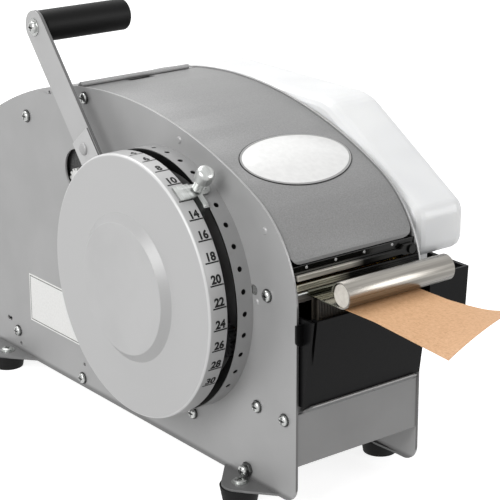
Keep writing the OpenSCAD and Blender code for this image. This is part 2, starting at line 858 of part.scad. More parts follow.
module feed_pinion() {
    color([0.45, 0.45, 0.47]) in_place() translate([0, feed_y, feed_z]) difference() {
        slab_x(4.2, 6) rotate(mesh2 + 180 + 180 / feed_teeth) gear_2d(feed_teeth);
        rod_x(3, 0, 0, 5, 9);
    }
}

// Rubber-covered drum with shallow grooves round it
module feed_roller() {
    grooves = 6;
    width = 100;
    color([0.15, 0.15, 0.15]) in_place() translate([12.5, feed_y, feed_z]) rotate([0, 90, 0])
        rotate_extrude($fn = 96) difference() {
            translate([5, 0]) square([feed_r - 5, width]);
            for (i = [1:grooves]) translate([feed_r, i * width / (grooves + 1)])
                circle(r = 1.6, $fn = 24);
        }
}

module pressure_shaft() {
    color([0.75, 0.75, 0.77]) in_place() rod_x(inner_l, feed_y, press_z, press_bore, inner_w);
}

module pressure_roller() {
    color([0.5, 0.5, 0.5]) in_place()
        for (x = [22, 44, 66]) difference() {
            rod_x(x, feed_y, press_z, press_r, 14, 64);
            rod_x(x - 1, feed_y, press_z, press_bore + run, 16);
        }
}

// Moving blade: hangs from its pivot at the right and shears past the lower one
module shear_blade() {
    color([0.85, 0.85, 0.87]) in_place() difference() {
        slab_y(4.5, 3.4) polygon([[4.5, 187.2], [112, 187.2], [115, 185.8], [125.8, 185.8],
            [125.8, 194.2], [115, 194.2], [111, 191.4], [4.5, 191.4]]);
        translate([122, 3, 190]) rotate([-90, 0, 0]) cylinder(r = 2.55, h = 8, $fn = 32);
    }
}

// Stainless sheet over the tape: curled round its hinge rod and round the weight
module pressure_plate() {
    left = 12;
    width = 109;
    t = 0.9;
    color([0.8, 0.8, 0.8]) in_place() {
        difference() {
            slab_x(left, width) {
                translate([weight_y, plate_z]) square([hinge_y - weight_y, t]);
                difference() {
                    translate([weight_y, plate_z + weight_r + wrap_t])
                        circle(r = weight_r + wrap_t, $fn = 96);
                    translate([weight_y, plate_z + t]) square([20, weight_r + wrap_t - t]);
                }
                translate([hinge_y, hinge_z]) circle(r = 2, $fn = 40);
            }
            rod_x(left - 1, weight_y, plate_z + weight_r + wrap_t, weight_r, width + 2, 96);
            rod_x(left - 1, hinge_y, hinge_z, 1.2, width + 2, 32);
        }
    }
}

// Solid bar that lies loose in the curl of the plate, a little short of its ends
module weight_rod() {
    bar_r = weight_r - 0.5;
    color([0.86, 0.86, 0.86]) in_place()
        rod_x(13.4, weight_y, plate_z + wrap_t + bar_r, bar_r, 106.2, 96);
}

tank_front = -5;
tank_lean = 10;
tank_rear = 24;
tank_w = 118;
tank_top = tank_z + tank_h;
rebate = 5;
wing_front = -17;
wing_l = 65;
wing_drop = 14;
link_l = 16;
link_x = tank_x + tank_w - 2.2;
above = 60;

// Section of the tank, moved inwards by inset and open at the top
module tank_2d(inset = 0) {
    lift = inset > 0 ? above : 0;
    slope = tank_lean / tank_h;
    polygon([[tank_front + inset - slope * inset, tank_z + inset],
        [tank_rear - inset, tank_z + inset], [tank_rear - inset, tank_top + lift],
        [tank_front - tank_lean - slope * lift + inset, tank_top + lift]]);
}

module wing_2d(inset = 0) {
    lift = inset > 0 ? above : 0;
    x0 = wing_x + inset;
    x1 = wing_x + wing_w - inset;
    polygon([[x0, wing_z - wing_drop + inset * 1.5], [x0 + 2, wing_z - wing_drop + inset * 1.5],
        [x1 - 2.5, wing_z + inset], [x1, rim_z + lift], [x0, rim_z + lift]]);
}

// Open tank between the plates, with a wing round the front of the right plate
// into which the bottle's neck dips
module water_tank() {
    color([0.14, 0.14, 0.15]) in_place() difference() {
        union() {
            slab_x(tank_x - rebate + tank_wall, tank_w + rebate - tank_wall) intersection() {
                tank_2d();
                translate([tank_front - 5, 0]) square([100, 300]);
            }
            slab_x(tank_x, tank_w) tank_2d();
            slab_x(tank_x - rebate, tank_wall) tank_2d();
            slab_y(wing_front, wing_l) wing_2d();
            slab_y(wing_front, link_l) polygon([[link_x, wing_z - wing_drop - 2],
                [wing_x, wing_z - wing_drop], [wing_x + 1, wing_z - wing_drop],
                [wing_x + 1, rim_z], [link_x, rim_z]]);
            slab_y(-4.5, 2) {
                translate([-4, 142]) square([12, 13.5]);
                translate([0, 142]) circle(r = 4, $fn = 32);
                translate([0, 138]) square([8, 8]);
            }
        }
        slab_x(tank_x - rebate + tank_wall, tank_w + rebate - 2 * tank_wall)
            intersection() {
                tank_2d(tank_wall);
                translate([tank_front - 5 + tank_wall, 0]) square([100, 300]);
            }
        slab_x(tank_x + tank_wall, tank_w - 2 * tank_wall) tank_2d(tank_wall);
        slab_y(wing_front + tank_wall, wing_l - 2 * tank_wall) wing_2d(tank_wall);
        slab_y(wing_front + tank_wall, link_l - 2 * tank_wall)
            polygon([[link_x - 2, tank_z + 34], [wing_x + tank_wall + 1, wing_z - 8],
                [wing_x + tank_wall + 1, rim_z + 9], [link_x + tank_wall, rim_z + 9],
                [link_x + tank_wall, tank_top + 0.1], [link_x - 2, tank_top + 0.1]]);
    }
}

// Brush: a backing from wall to wall with rows of four-sided bristles
brush_rows = 3;
brush_cols = 50;
brush_back = 150;
brush_tip = 174.8;

module brush(x, y) {
    step = (tape_w + 2) / brush_cols;
    translate([x, y, brush_back - 12])
        cube([tank_x + tank_w - tank_wall - x, 4.6, 12]);
    for (row = [0:brush_rows - 1]) for (i = [0:brush_cols - 1])
        translate([tape_x - 1 + (i + 0.15 + 0.3 * row) * step, y + 0.5 + 1.3 * row, brush_back - 1])
            cube([0.7, 0.7, brush_tip - brush_back + 1]);
}

module front_brush() {
    color([0.75, 0.68, 0.5]) in_place() brush(tank_x + tank_wall, -9.4);
}

module rear_brush() {
    color([0.75, 0.68, 0.5]) in_place() brush(tank_x - rebate + tank_wall, -3);
}

// Blow-moulded bottle along the right plate: upright front, sloping shoulder, level
// top and falling rear, with large soft edges all round
bottle_x = frame_w + 2;
bottle_front = 11;
neck_y = 30;
neck_x = frame_w + 18;
// Centres [y, z] and radii of the outline's round corners
bottle_corners = [[bottle_front + 12, bottle_bottom + 12, 12], [bottle_front + 15, 206.5, 15],
    [140, 245, 42], [296, 237, 50], [bottle_front + bottle_l - 30, 232, 30],
    [bottle_front + bottle_l - 18, bottle_bottom + 18, 18]];

module bottle_2d(inset) {
    hull() for (c = bottle_corners) translate([c[0], c[1]]) circle(r = c[2] - inset, $fn = 48);
}

module water_bottle() {
    edge = 11;
    steps = 4;
    color([0.93, 0.94, 0.95, 0.9]) in_place() {
        hull() for (i = [0:steps]) {
            a = 90 * i / steps;
            slab_x(bottle_x + edge * (1 - sin(a)), bottle_w - 2 * edge * (1 - sin(a)))
                bottle_2d(edge * (1 - cos(a)));
        }
        translate([neck_x, neck_y, bottle_bottom - 22])
            cylinder(r = 11, h = 30, $fn = 48);
    }
}

module bottle_cap() {
    color([0.9, 0.9, 0.9]) in_place() translate([neck_x, neck_y, bottle_bottom - 24])
        difference() {
            union() {
                cylinder(r = 12.6, h = 12, $fn = 48);
                translate([0, 0, -4]) cylinder(r = 5, h = 5, $fn = 32);
            }
            translate([0, 0, 2]) cylinder(r = 11.05, h = 20, $fn = 48);
        }
}

// Sheet that follows the arch between two places, with flanges at its sides
module cover_sheet(from, to, low, flange) {
    x0 = inner_l + cover_gap;
    w = inner_w - 2 * cover_gap;
    flange_from = from + 12;
    intersection() {
        slab_x(x0, w) difference() {
            arch_2d(cover_in);
            arch_2d(cover_in + cover_t);
        }
        translate([0, from, low]) cube([frame_w, to - from, 400]);
    }
    intersection() {
        for (x = [x0, x0 + w - cover_t]) slab_x(x, cover_t) difference() {
            arch_2d(cover_in);
            arch_2d(cover_in + flange);
        }
        translate([0, flange_from, low]) cube([frame_w, to - flange_from, 400]);
    }
}

// Takes the corners off the front edge of the cover, seen along Y
module front_corners(corner_r, low) {
    for (side = [0, 1])
        translate([side * frame_w, 0, 0]) mirror([side, 0, 0])
            slab_y(cover_front - 5, 16) difference() {
                square([inner_l + cover_gap + corner_r, low + corner_r]);
                translate([inner_l + cover_gap + corner_r, low + corner_r])
                    circle(r = corner_r, $fn = 48);
            }
}

notch_x = 48;
notch_w = 27;

// Front cover: its rear edge, with a notch for the fingers, lies under the lid's lip,
// and its ears swing on the pivots in the side plates
module top_cover() {
    ear_r = 6;
    notch_r = 2.5;
    rear = lip_y - 0.6;
    color([0.6, 0.6, 0.6]) in_place() difference() {
        union() {
            cover_sheet(cover_front, rear, 190, 5.4);
            for (x = [inner_l + cover_gap, inner_r - cover_gap - cover_t])
                slab_x(x, cover_t) {
                    translate(cover_pivot) circle(r = ear_r, $fn = 48);
                    translate([cover_pivot[0] - ear_r, cover_pivot[1]]) square([2 * ear_r, 6]);
                }
        }
        rod_x(0, cover_pivot[0], cover_pivot[1], screw_r + run, frame_w);
        translate([0, 0, 270]) linear_extrude(height = 30) {
            translate([notch_x + notch_r, rear - 11]) square([notch_w - 2 * notch_r, 20]);
            translate([notch_x, rear - 11 + notch_r]) square([notch_w, 20]);
            for (x = [notch_x + notch_r, notch_x + notch_w - notch_r])
                translate([x, rear - 11 + notch_r]) circle(r = notch_r, $fn = 32);
        }
        front_corners(9, 198.6);
    }
}

// Oval plate on the cover, left bare
badge_y = 84;
badge_x = 67;
badge_a = 51;
badge_b = 29;

module cover_badge() {
    color([0.95, 0.95, 0.95]) in_place() intersection() {
        slab_x(badge_x - 60, 120) difference() {
            translate([arch_y, arch_z]) circle(r = arch_r - cover_in + 0.5, $fn = 180);
            translate([arch_y, arch_z]) circle(r = arch_r - cover_in, $fn = 180);
        }
        translate([badge_x, badge_y, 230]) linear_extrude(height = 60)
            scale([1, badge_b / badge_a]) circle(r = badge_a, $fn = 96);
    }
}

// Lid over the roll and down the rear: a rolled lip lies on the front cover, and the
// lower end is curled round the hinge rod
module rear_lid() {
    curl_r = 3.6;
    lip_w = 116;
    lip_z = 287.35;
    from = lip_y + 2.2;
    x0 = inner_l + cover_gap;
    color([0.66, 0.66, 0.66]) in_place() difference() {
        union() {
            cover_sheet(from, plate_l, lid_hinge_z, 5.4);
            slab_x(x0, lip_w) {
                translate([lip_y, lip_z]) circle(r = lip_r, $fn = 48);
                translate([lip_y, lip_z - lip_r]) square([from - lip_y + 1.5, 1.3]);
                translate([from, lip_z - 3.4]) square([1.5, 2.6]);
            }
            rod_x(x0 + 10, lid_hinge_y, lid_hinge_z, curl_r, inner_w - 2 * cover_gap - 20);
        }
        rod_x(0, lid_hinge_y, lid_hinge_z, lid_rod_r + run, frame_w);
    }
}

module tape_roll() {
    color([0.8, 0.64, 0.47]) in_place() difference() {
        rod_x(tape_x, roll_y, roll_z, roll_r, tape_w, 144);
        rod_x(tape_x - 1, roll_y, roll_z, 22, tape_w + 2, 64);
    }
}

module tape_core() {
    color([0.7, 0.56, 0.4]) in_place() difference() {
        rod_x(tape_x, roll_y, roll_z, 22, tape_w, 64);
        rod_x(tape_x - 1, roll_y, roll_z, 19, tape_w + 2, 64);
    }
}

// Tape inside the machine: from the top of the roll, under the guide bar,
// through the feed rollers and over the lower blade
module tape_web() {
    rise = roll_z + roll_r + 0.6 - web_z;
    reach = roll_y - guide_y;
    color([0.8, 0.64, 0.47]) in_place() slab_x(tape_x, tape_w) polygon([
        [blade_y + 0.4, web_z], [guide_y, web_z], [roll_y - 12, web_z + rise],
        [roll_y, web_z + rise + 0.2], [roll_y, web_z + rise + 0.2 + paper_t],
        [roll_y - 12, web_z + rise + paper_t], [guide_y, web_z + paper_t],
        [blade_y + 0.4, web_z + paper_t]]);
}

// The cut strip: flat under the plate, then drooping at its left edge, rising
// at its right edge and curling up towards its end
strip_rows = 24;
strip_cols = 8;
strip_from = 4;
strip_flat = -72;

function strip_height(u, y) = let (v = max(0, (strip_flat - y) / (strip_l + strip_flat)))
    strip_z + v * (6 * u - 5.5 * (1 - u)) + pow(v, 4) * 14 * (1 - pow(1 - u, 2));

function strip_point(i, k, lift) = let (
        y = strip_from - (strip_from + strip_l) * i / strip_rows,
        u = k / strip_cols)
    [tape_x + tape_w * u, y, strip_height(u, y) + lift];

module tape_strip() {
    n = (strip_rows + 1) * (strip_cols + 1);
    c = strip_cols + 1;
    points = [for (lift = [0, paper_t]) for (i = [0:strip_rows]) for (k = [0:strip_cols])
        strip_point(i, k, lift)];
    cells = [for (i = [0:strip_rows - 1]) for (k = [0:strip_cols - 1])
        let (a = i * c + k)
        each [[a, a + 1, a + c + 1], [a, a + c + 1, a + c],
            [n + a, n + a + c + 1, n + a + 1], [n + a, n + a + c, n + a + c + 1]]];
    ends = [for (k = [0:strip_cols - 1]) each [
        [k, n + k, n + k + 1], [k, n + k + 1, k + 1],
        let (a = strip_rows * c + k) [a, n + a + 1, n + a],
        let (a = strip_rows * c + k) [a, a + 1, n + a + 1]]];
    edges = [for (i = [0:strip_rows - 1]) each [
        let (a = i * c) [a, a + c, n + a + c], let (a = i * c) [a, n + a + c, n + a],
        let (a = i * c + strip_cols) [a, n + a + c, a + c],
        let (a = i * c + strip_cols) [a, n + a, n + a + c]]];
    color([0.85, 0.67, 0.5]) in_place()
        polyhedron(points = points, faces = concat(cells, ends, edges));
}

left_side_frame();
right_side_frame();
front_panel();
tank_shelf();
base_pan();
rear_panel();
tape_basket();
tie_rods();
cover_hinge_rod();
rubber_feet();
foot_screws();
frame_screws();
frame_rivets();
side_label();
dial_band();
dial_cover();
dial_posts();
dial_stud();
bushings();
lower_blade();
blade_guard();
blade_pivot();
tape_guides();
guide_bar();
guide_spring();
plate_hinge_rod();
bottle_bracket();
lever_arm();
arm_doubler();
lever_fasteners();
drive_gear();
lever_hub();
handle_grip();
length_stop();
thumb_screw();
transfer_shaft();
transfer_pinion();
transfer_gear();
feed_shaft();
feed_pinion();
feed_roller();
pressure_shaft();
pressure_roller();
shear_blade();
pressure_plate();
weight_rod();
water_tank();
front_brush();
rear_brush();
water_bottle();
bottle_cap();
top_cover();
cover_badge();
rear_lid();
tape_roll();
tape_core();
tape_web();
tape_strip();
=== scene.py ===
import bpy, math
from mathutils import Matrix, Vector


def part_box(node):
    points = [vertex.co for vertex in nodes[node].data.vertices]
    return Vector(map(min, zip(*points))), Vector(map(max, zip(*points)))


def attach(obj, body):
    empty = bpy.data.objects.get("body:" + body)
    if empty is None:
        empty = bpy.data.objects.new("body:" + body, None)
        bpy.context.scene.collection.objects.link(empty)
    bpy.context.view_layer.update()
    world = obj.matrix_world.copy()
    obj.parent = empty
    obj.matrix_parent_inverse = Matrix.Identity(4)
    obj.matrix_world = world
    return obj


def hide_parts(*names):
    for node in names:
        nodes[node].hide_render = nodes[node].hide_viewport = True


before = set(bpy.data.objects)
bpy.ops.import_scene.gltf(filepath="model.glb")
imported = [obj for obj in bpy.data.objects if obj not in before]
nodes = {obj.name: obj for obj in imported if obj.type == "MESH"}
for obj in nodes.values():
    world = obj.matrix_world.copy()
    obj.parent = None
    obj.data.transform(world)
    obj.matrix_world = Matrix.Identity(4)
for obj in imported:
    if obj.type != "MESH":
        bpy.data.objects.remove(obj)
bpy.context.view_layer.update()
mm = 0.001
print("frame loaded:", len(nodes), "nodes")

# the left side plate's outer face, on which the label lies, its front edge and its bottom edge are the origin
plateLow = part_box("left_side_frame")[0]
outerX, frontY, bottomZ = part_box("side_label")[1][0], plateLow[1], plateLow[2]
dialLow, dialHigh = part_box("dial_cover")
dialY, dialZ = (dialLow[1] + dialHigh[1]) / 2, (dialLow[2] + dialHigh[2]) / 2
dialR = (dialHigh[1] - dialLow[1]) / 2


def place(x, y, z):  # machine millimetres to the frame's metres
    return Vector((outerX + x * mm, frontY + y * mm, bottomZ + z * mm))


# ---------- camera: solved from the photograph's three vanishing directions
camera = {"at": (-835.05, -1019.48, 659.16), "turn": 37.757, "tilt": -18.609, "roll": -0.195, "lens": 131.65,
          "sensor": 36, "near": 0.05, "far": 30}

view = bpy.data.cameras.new("photoView")
view.lens, view.sensor_width = camera["lens"], camera["sensor"]
view.clip_start, view.clip_end = camera["near"], camera["far"]
eye = bpy.data.objects.new("photoView", view)
bpy.context.scene.collection.objects.link(eye)
eye.matrix_world = (Matrix.Translation(place(*camera["at"]))
                    @ Matrix.Rotation(math.radians(-camera["turn"]), 4, "Z")
                    @ Matrix.Rotation(math.radians(90 + camera["tilt"]), 4, "X")
                    @ Matrix.Rotation(math.radians(camera["roll"]), 4, "Z"))
bpy.context.scene.camera = eye
print("camera placed")


# ---------- materials
def linear(hexText):  # sRGB hex to Blender's linear colour
    parts = [int(hexText[i:i + 2], 16) / 255 for i in (1, 3, 5)]
    return tuple(c / 12.92 if c <= 0.04045 else ((c + 0.055) / 1.055) ** 2.4 for c in parts) + (1,)


def addNode(tree, kind, settings=None, links=None):
    node = tree.nodes.new(kind)
    for key, value in (settings or {}).items():
        if key == "stops":  # positions and colours of a colour ramp
            while len(node.color_ramp.elements) < len(value):
                node.color_ramp.elements.new(0.5)
            for element, (position, colour) in zip(node.color_ramp.elements, value):
                element.position = position
                element.color = linear(colour) if isinstance(colour, str) else colour
        elif isinstance(key, int) or key in node.inputs:
            node.inputs[key].default_value = value
        else:
            setattr(node, key, value)
    for key, source in (links or {}).items():
        tree.links.new(source, node.inputs[key])
    return node


def newMaterial(name):
    material = bpy.data.materials.new(name)
    material.use_nodes = True
    tree = material.node_tree
    shader = tree.nodes["Principled BSDF"]
    where = tree.nodes.new("ShaderNodeTexCoord").outputs["Object"]
    return material, tree, shader, where


def pastPlane(tree, where, zone):  # 0 before the zone's plane across one axis, and 1 past it
    axis = "XYZ".index(zone["axis"])
    start, stop = (place(zone[k], zone[k], zone[k])[axis] for k in ("from", "to"))
    along = addNode(tree, "ShaderNodeSeparateXYZ", links={"Vector": where})
    share = addNode(tree, "ShaderNodeMapRange", {"From Min": start, "From Max": stop},
                    {"Value": along.outputs[axis]})
    return share.outputs[0]


def awayFrom(tree, where, middle):  # distance from the axle through the middle, along X
    centred = addNode(tree, "ShaderNodeMapping", {"Location": tuple(-c for c in middle)}, {"Vector": where})
    flat = addNode(tree, "ShaderNodeVectorMath", {"operation": "MULTIPLY", 1: (0, 1, 1)},
                   {0: centred.outputs["Vector"]})
    away = addNode(tree, "ShaderNodeVectorMath", {"operation": "LENGTH"}, {0: flat.outputs["Vector"]})
    return away.outputs["Value"]


# powder-coated and enamelled steel: a fine orange peel, and a faint cloudiness in the colour
powderCommon = {"cloud": 60, "low": 0.35, "high": 0.65, "bump": 0.35, "peel": 1.2, "depth": 0.02,
                "rough": 0.45, "metal": 0.15, "gloss": 0.5, "unpainted": "#060606"}
powderLooks = {
    # the body's silver: even and satin, with painted shade low down by the feet and on the front edges
    "powderCoatSilver": {"light": "#aeaeae", "dark": "#a8a8a8", "peel": 1.4, "depth": 0.03, "rough": 0.42,
                         "metal": 0.25,
                         "zones": [{"axis": "Z", "from": 6, "to": 3, "colour": "#7c7c7c"},
                                   {"axis": "Y", "from": 0.6, "to": 0.3, "colour": "#6c6c6c"}]},
    # the dial's pale dish: painted shade on its slope and rim, and a painted highlight as a bright line on its
    # rolled edge
    "powderCoatPale": {"light": "#c3c3c3", "dark": "#bdbdbd", "rough": 0.40, "inside": -38, "wall": 0.6,
                       "zones": [{"axis": "X", "from": -50.9, "to": -50.6, "colour": "#b2b2b2"},
                                 {"axis": "X", "from": -45.2, "to": -45.0, "colour": "#c0c0c0"},
                                 {"axis": "X", "from": -43.35, "to": -43.1, "colour": "#d8d8d8"},
                                 {"axis": "X", "from": -42.0, "to": -41.5, "colour": "#b9b9b9"}]},
    # the perforated band, a tone darker than the plates, with painted shade black inside
    "powderCoatBand": {"light": "#a3a3a3", "dark": "#9b9b9b", "inside": -38, "wall": 0.6},
    # the lever's pale bar, with painted shade on its edges
    "powderCoatArm": {"light": "#bdbdbd", "dark": "#b7b7b7", "rough": 0.40,
                      "zones": [{"axis": "X", "from": -20.0, "to": -19.7, "colour": "#6e6e6e"}]},
    # the same paint made darker as painted shade, low down between the plates
    "powderCoatPaintedShade": {"light": "#8b8b8b", "dark": "#848484", "metal": 0.2},
    # the doubler: the arm's paint made the palest of all as painted light, with painted shade on its edges
    "powderCoatPaintedLight": {"light": "#c6c6c6", "dark": "#c0c0c0", "rough": 0.38,
                        "zones": [{"axis": "X", "from": -21.8, "to": -21.5, "colour": "#6e6e6e"}]},
    # stove enamel: deep black, with sharp reflections
    "stoveEnamelBlack": {"light": "#0c0c0b", "dark": "#090908", "peel": 2.5, "depth": 0.01, "rough": 0.16,
                         "metal": 0.0, "gloss": 0.3},
}


def powderCoat(name):
    look = {**powderCommon, **powderLooks[name]}
    material, tree, shader, where = newMaterial(name)
    cloud = addNode(tree, "ShaderNodeTexNoise", {"Scale": 1 / (look["cloud"] * mm), "Detail": 3.0},
                    {"Vector": where})
    stops = [(look["low"], look["dark"]), (look["high"], look["light"])]
    colour = addNode(tree, "ShaderNodeValToRGB", {"stops": stops},
                     {"Fac": cloud.outputs["Fac"]}).outputs["Color"]
    peel = addNode(tree, "ShaderNodeTexNoise", {"Scale": 1 / (look["peel"] * mm), "Detail": 2.0},
                   {"Vector": where})
    bump = addNode(tree, "ShaderNodeBump", {"Strength": look["bump"], "Distance": look["depth"] * mm},
                   {"Height": peel.outputs["Fac"]})
    for zone in look.get("zones", []):  # another tone past a plane: painted shade, and on the dial a painted highlight
        tint = addNode(tree, "ShaderNodeMix", {"data_type": "RGBA", 7: linear(zone["colour"])},
                       {0: pastPlane(tree, where, zone), 6: colour})
        colour = tint.outputs[2]
    if "inside" in look:  # painted shade: black on the inner wall of a round shell on the dial's axle
        within = addNode(tree, "ShaderNodeMath", {"operation": "LESS_THAN", 1: dialR - look["wall"] * mm},
                         {0: awayFrom(tree, where, (0, dialY, dialZ))})
        along = addNode(tree, "ShaderNodeSeparateXYZ", links={"Vector": where})
        innerX = place(look["inside"], 0, 0)[0]
        past = addNode(tree, "ShaderNodeMath", {"operation": "GREATER_THAN", 1: innerX}, {0: along.outputs[0]})
        both = addNode(tree, "ShaderNodeMath", {"operation": "MULTIPLY"},
                       {0: within.outputs[0], 1: past.outputs[0]})
        tint = addNode(tree, "ShaderNodeMix", {"data_type": "RGBA", 7: linear(look["unpainted"])},
                       {0: both.outputs[0], 6: colour})
        colour = tint.outputs[2]
    tree.links.new(colour, shader.inputs["Base Color"])
    tree.links.new(bump.outputs["Normal"], shader.inputs["Normal"])
    shader.inputs["Roughness"].default_value = look["rough"]
    shader.inputs["Metallic"].default_value = look["metal"]
    shader.inputs["Specular IOR Level"].default_value = look["gloss"]
    return material


# wrinkle-textured paint of the covers: matt and pebbled, the grain drawn 1.6 mm across so that it shows
wrinkle = {"pebble": 1.6, "fine": 1.1, "low": 0.3, "high": 0.7, "bump": 0.5, "depth": 0.12, "rough": 0.46}


def texturedPaint(name, dark, light):
    material, tree, shader, where = newMaterial(name)
    cells = addNode(tree, "ShaderNodeTexVoronoi", {"Scale": 1 / (wrinkle["pebble"] * mm)}, {"Vector": where})
    fine = addNode(tree, "ShaderNodeTexNoise", {"Scale": 1 / (wrinkle["fine"] * mm), "Detail": 3.0},
                   {"Vector": where})
    mix = addNode(tree, "ShaderNodeMath", {"operation": "MULTIPLY"},
                  {0: cells.outputs["Distance"], 1: fine.outputs["Fac"]})
    stops = [(wrinkle["low"], dark), (wrinkle["high"], light)]
    colour = addNode(tree, "ShaderNodeValToRGB", {"stops": stops},
                     {"Fac": fine.outputs["Fac"]}).outputs["Color"]
    bump = addNode(tree, "ShaderNodeBump", {"Strength": wrinkle["bump"], "Distance": wrinkle["depth"] * mm},
                   {"Height": mix.outputs[0]})
    tree.links.new(colour, shader.inputs["Base Color"])
    tree.links.new(bump.outputs["Normal"], shader.inputs["Normal"])
    shader.inputs["Roughness"].default_value = wrinkle["rough"]
    return material


# bare and plated metals: fine lines or grain left by their making, in colour, roughness and bump
drawn = {"low": 0.3, "high": 0.7, "bump": 0.3}
metalLooks = {
    # bright zinc: pale and softly streaked
    "zincPlatedSteel": {"light": "#c9cbc9", "dark": "#aeb0ae", "rough": (0.28, 0.42),
                        "lines": (900, 120, 120), "depth": 0.006},
    # thin zinc on sheet: dull and grey
    "platedSheet": {"light": "#8f9091", "dark": "#838485", "rough": (0.38, 0.5),
                    "lines": (500, 60, 60), "depth": 0.004},
    # ground blade: bright long lines, painted near black towards the right as painted shade of the dark mouth
    "polishedBladeSteel": {"light": "#e6e2da", "dark": "#b9b2a6", "rough": (0.3, 0.42), "metal": 0.5,
                           "lines": (12, 700, 700), "depth": 0.003,
                           "zone": {"axis": "X", "from": 58, "to": 72, "colour": "#0d0c0b", "rough": 0.3}},
    # brushed sheet: soft long bands, partly brushing and partly painted reflection, and mirror-like in its curl,
    # where a darker colour is painted reflection of the dark mouth
    "brushedStainless": {"light": "#aaa69f", "dark": "#7c7974", "rough": (0.26, 0.34),
                         "lines": (5, 420, 420), "depth": 0.003,
                         "zone": {"axis": "Y", "from": -33.5, "to": -32.5, "colour": "#5f5f55", "rough": 0.09}},
    # warm and shiny, painted near black towards the right as painted shade of the dark mouth
    "rolledNickel": {"light": "#d6d1bf", "dark": "#8b8878", "rough": (0.25, 0.4), "metal": 0.6,
                     "lines": (10, 500, 500), "depth": 0.004,
                     "zone": {"axis": "X", "from": 38, "to": 56, "colour": "#0d0c0b", "rough": 0.3}},
    # new screws: small, sharp highlights
    "brightZincScrew": {"light": "#dcdddb", "dark": "#a9abaa", "rough": (0.14, 0.26),
                        "lines": (700, 700, 700), "depth": 0.006},
    # phosphated spring steel: matt and dark, also used for the painted shade in the screw recesses
    "darkWasherAndPaintedShade": {"light": "#6d6e6d", "dark": "#4a4b4b", "rough": (0.3, 0.45),
                       "lines": (900, 900, 900), "depth": 0.01},
    # sawn stainless bar: pale and dull
    "sawnBarEnd": {"light": "#e4e0d8", "dark": "#d2cdc4", "rough": (0.42, 0.6),
                   "lines": (1400, 300, 300), "depth": 0.01},
    # oiled gears: mid grey, with tool marks
    "machinedSteel": {"light": "#8b8c8e", "dark": "#77787a", "rough": (0.35, 0.5),
                      "lines": (800, 300, 300), "depth": 0.006},
    # yellow, with fine upright lines
    "rolledBrass": {"light": "#c9a558", "dark": "#ab8a43", "rough": (0.25, 0.4),
                    "lines": (300, 300, 900), "depth": 0.005},
    # brown, porous and dull
    "sinteredBronze": {"light": "#a5824e", "dark": "#8d6d3e", "rough": (0.45, 0.6),
                       "lines": (900, 900, 900), "depth": 0.01},
}


def bareMetal(name):
    look = metalLooks[name]
    material, tree, shader, where = newMaterial(name)
    stretch = addNode(tree, "ShaderNodeMapping", {"Scale": look["lines"]}, {"Vector": where})
    lines = addNode(tree, "ShaderNodeTexNoise", {"Scale": 1.0, "Detail": 4.0, "Roughness": 0.6},
                    {"Vector": stretch.outputs["Vector"]})
    ends = (drawn["low"], drawn["high"])
    tones = list(zip(ends, (look["dark"], look["light"])))
    greys = [(end, (rough, rough, rough, 1)) for end, rough in zip(ends, look["rough"])]
    colour, rough = (addNode(tree, "ShaderNodeValToRGB", {"stops": stops},
                             {"Fac": lines.outputs["Fac"]}).outputs["Color"] for stops in (tones, greys))
    bump = addNode(tree, "ShaderNodeBump", {"Strength": drawn["bump"], "Distance": look["depth"] * mm},
                   {"Height": lines.outputs["Fac"]})
    if "zone" in look:  # another tone and gloss past a plane: painted shade and painted reflection of the dark mouth, and a smoother polish
        share = pastPlane(tree, where, look["zone"])
        tint = addNode(tree, "ShaderNodeMix", {"data_type": "RGBA", 7: linear(look["zone"]["colour"])},
                       {0: share, 6: colour})
        gloss = addNode(tree, "ShaderNodeMix", {"data_type": "FLOAT", 3: look["zone"]["rough"]},
                        {0: share, 2: rough})
        colour, rough = tint.outputs[2], gloss.outputs[0]
    tree.links.new(colour, shader.inputs["Base Color"])
    tree.links.new(rough, shader.inputs["Roughness"])
    tree.links.new(bump.outputs["Normal"], shader.inputs["Normal"])
    shader.inputs["Metallic"].default_value = look.get("metal", 1.0)
    return material


# plastics, rubber, board and print: a fine grain that softens the highlight
grained = {"low": 0.35, "high": 0.65, "bump": 0.4}
mouldedLooks = {
    # moulded ABS: black, with a soft sheen
    "tankAbs": {"light": "#0f0f10", "dark": "#0b0b0c", "grain": 1.3, "depth": 0.02, "rough": 0.36, "gloss": 0.12},
    # dipped PVC: black, a little duller than the tank
    "gripPvc": {"light": "#0e0e0e", "dark": "#0a0a0a", "grain": 1.1, "depth": 0.02, "rough": 0.48, "gloss": 0.14},
    # matt and greyish
    "footRubber": {"light": "#171717", "dark": "#101010", "grain": 1.5, "depth": 0.04, "rough": 0.7, "gloss": 0.25},
    # ground rubber: dull and dark
    "rollerRubber": {"light": "#242424", "dark": "#1b1b1b", "grain": 1.0, "depth": 0.03, "rough": 0.65,
                     "gloss": 0.3},
    # waxy white
    "capPolyethylene": {"light": "#e6e6e4", "dark": "#dcdcda", "grain": 1.2, "depth": 0.01, "rough": 0.4,
                        "gloss": 0.5},
    # smooth, clean white
    "badgeEnamel": {"light": "#f4f4f3", "dark": "#eeeeed", "grain": 5.0, "depth": 0.004, "rough": 0.25,
                    "gloss": 0.5},
    # dull grey board behind the window, partly painted shade that hides the lit roll
    "darkBoardAndPaintedShade": {"light": "#626262", "dark": "#4a4a4a", "grain": 1.6, "depth": 0.02, "rough": 0.8,
                       "gloss": 0.2},
    # white, with a waxy sheen
    "nylonWhite": {"light": "#f0f0ee", "dark": "#e6e6e4", "grain": 1.6, "depth": 0.004, "rough": 0.4, "gloss": 0.5},
    # white film with a faint sheen
    "labelFilm": {"light": "#f3f3f1", "dark": "#ececea", "grain": 2.0, "depth": 0.003, "rough": 0.45, "gloss": 0.5},
    # screen-printed ink: flat black, also used for the painted shade in the grip bolt's recess
    "inkAndPaintedShade": {"light": "#161616", "dark": "#0e0e0e", "grain": 1.0, "depth": 0.002, "rough": 0.5, "gloss": 0.3},
}


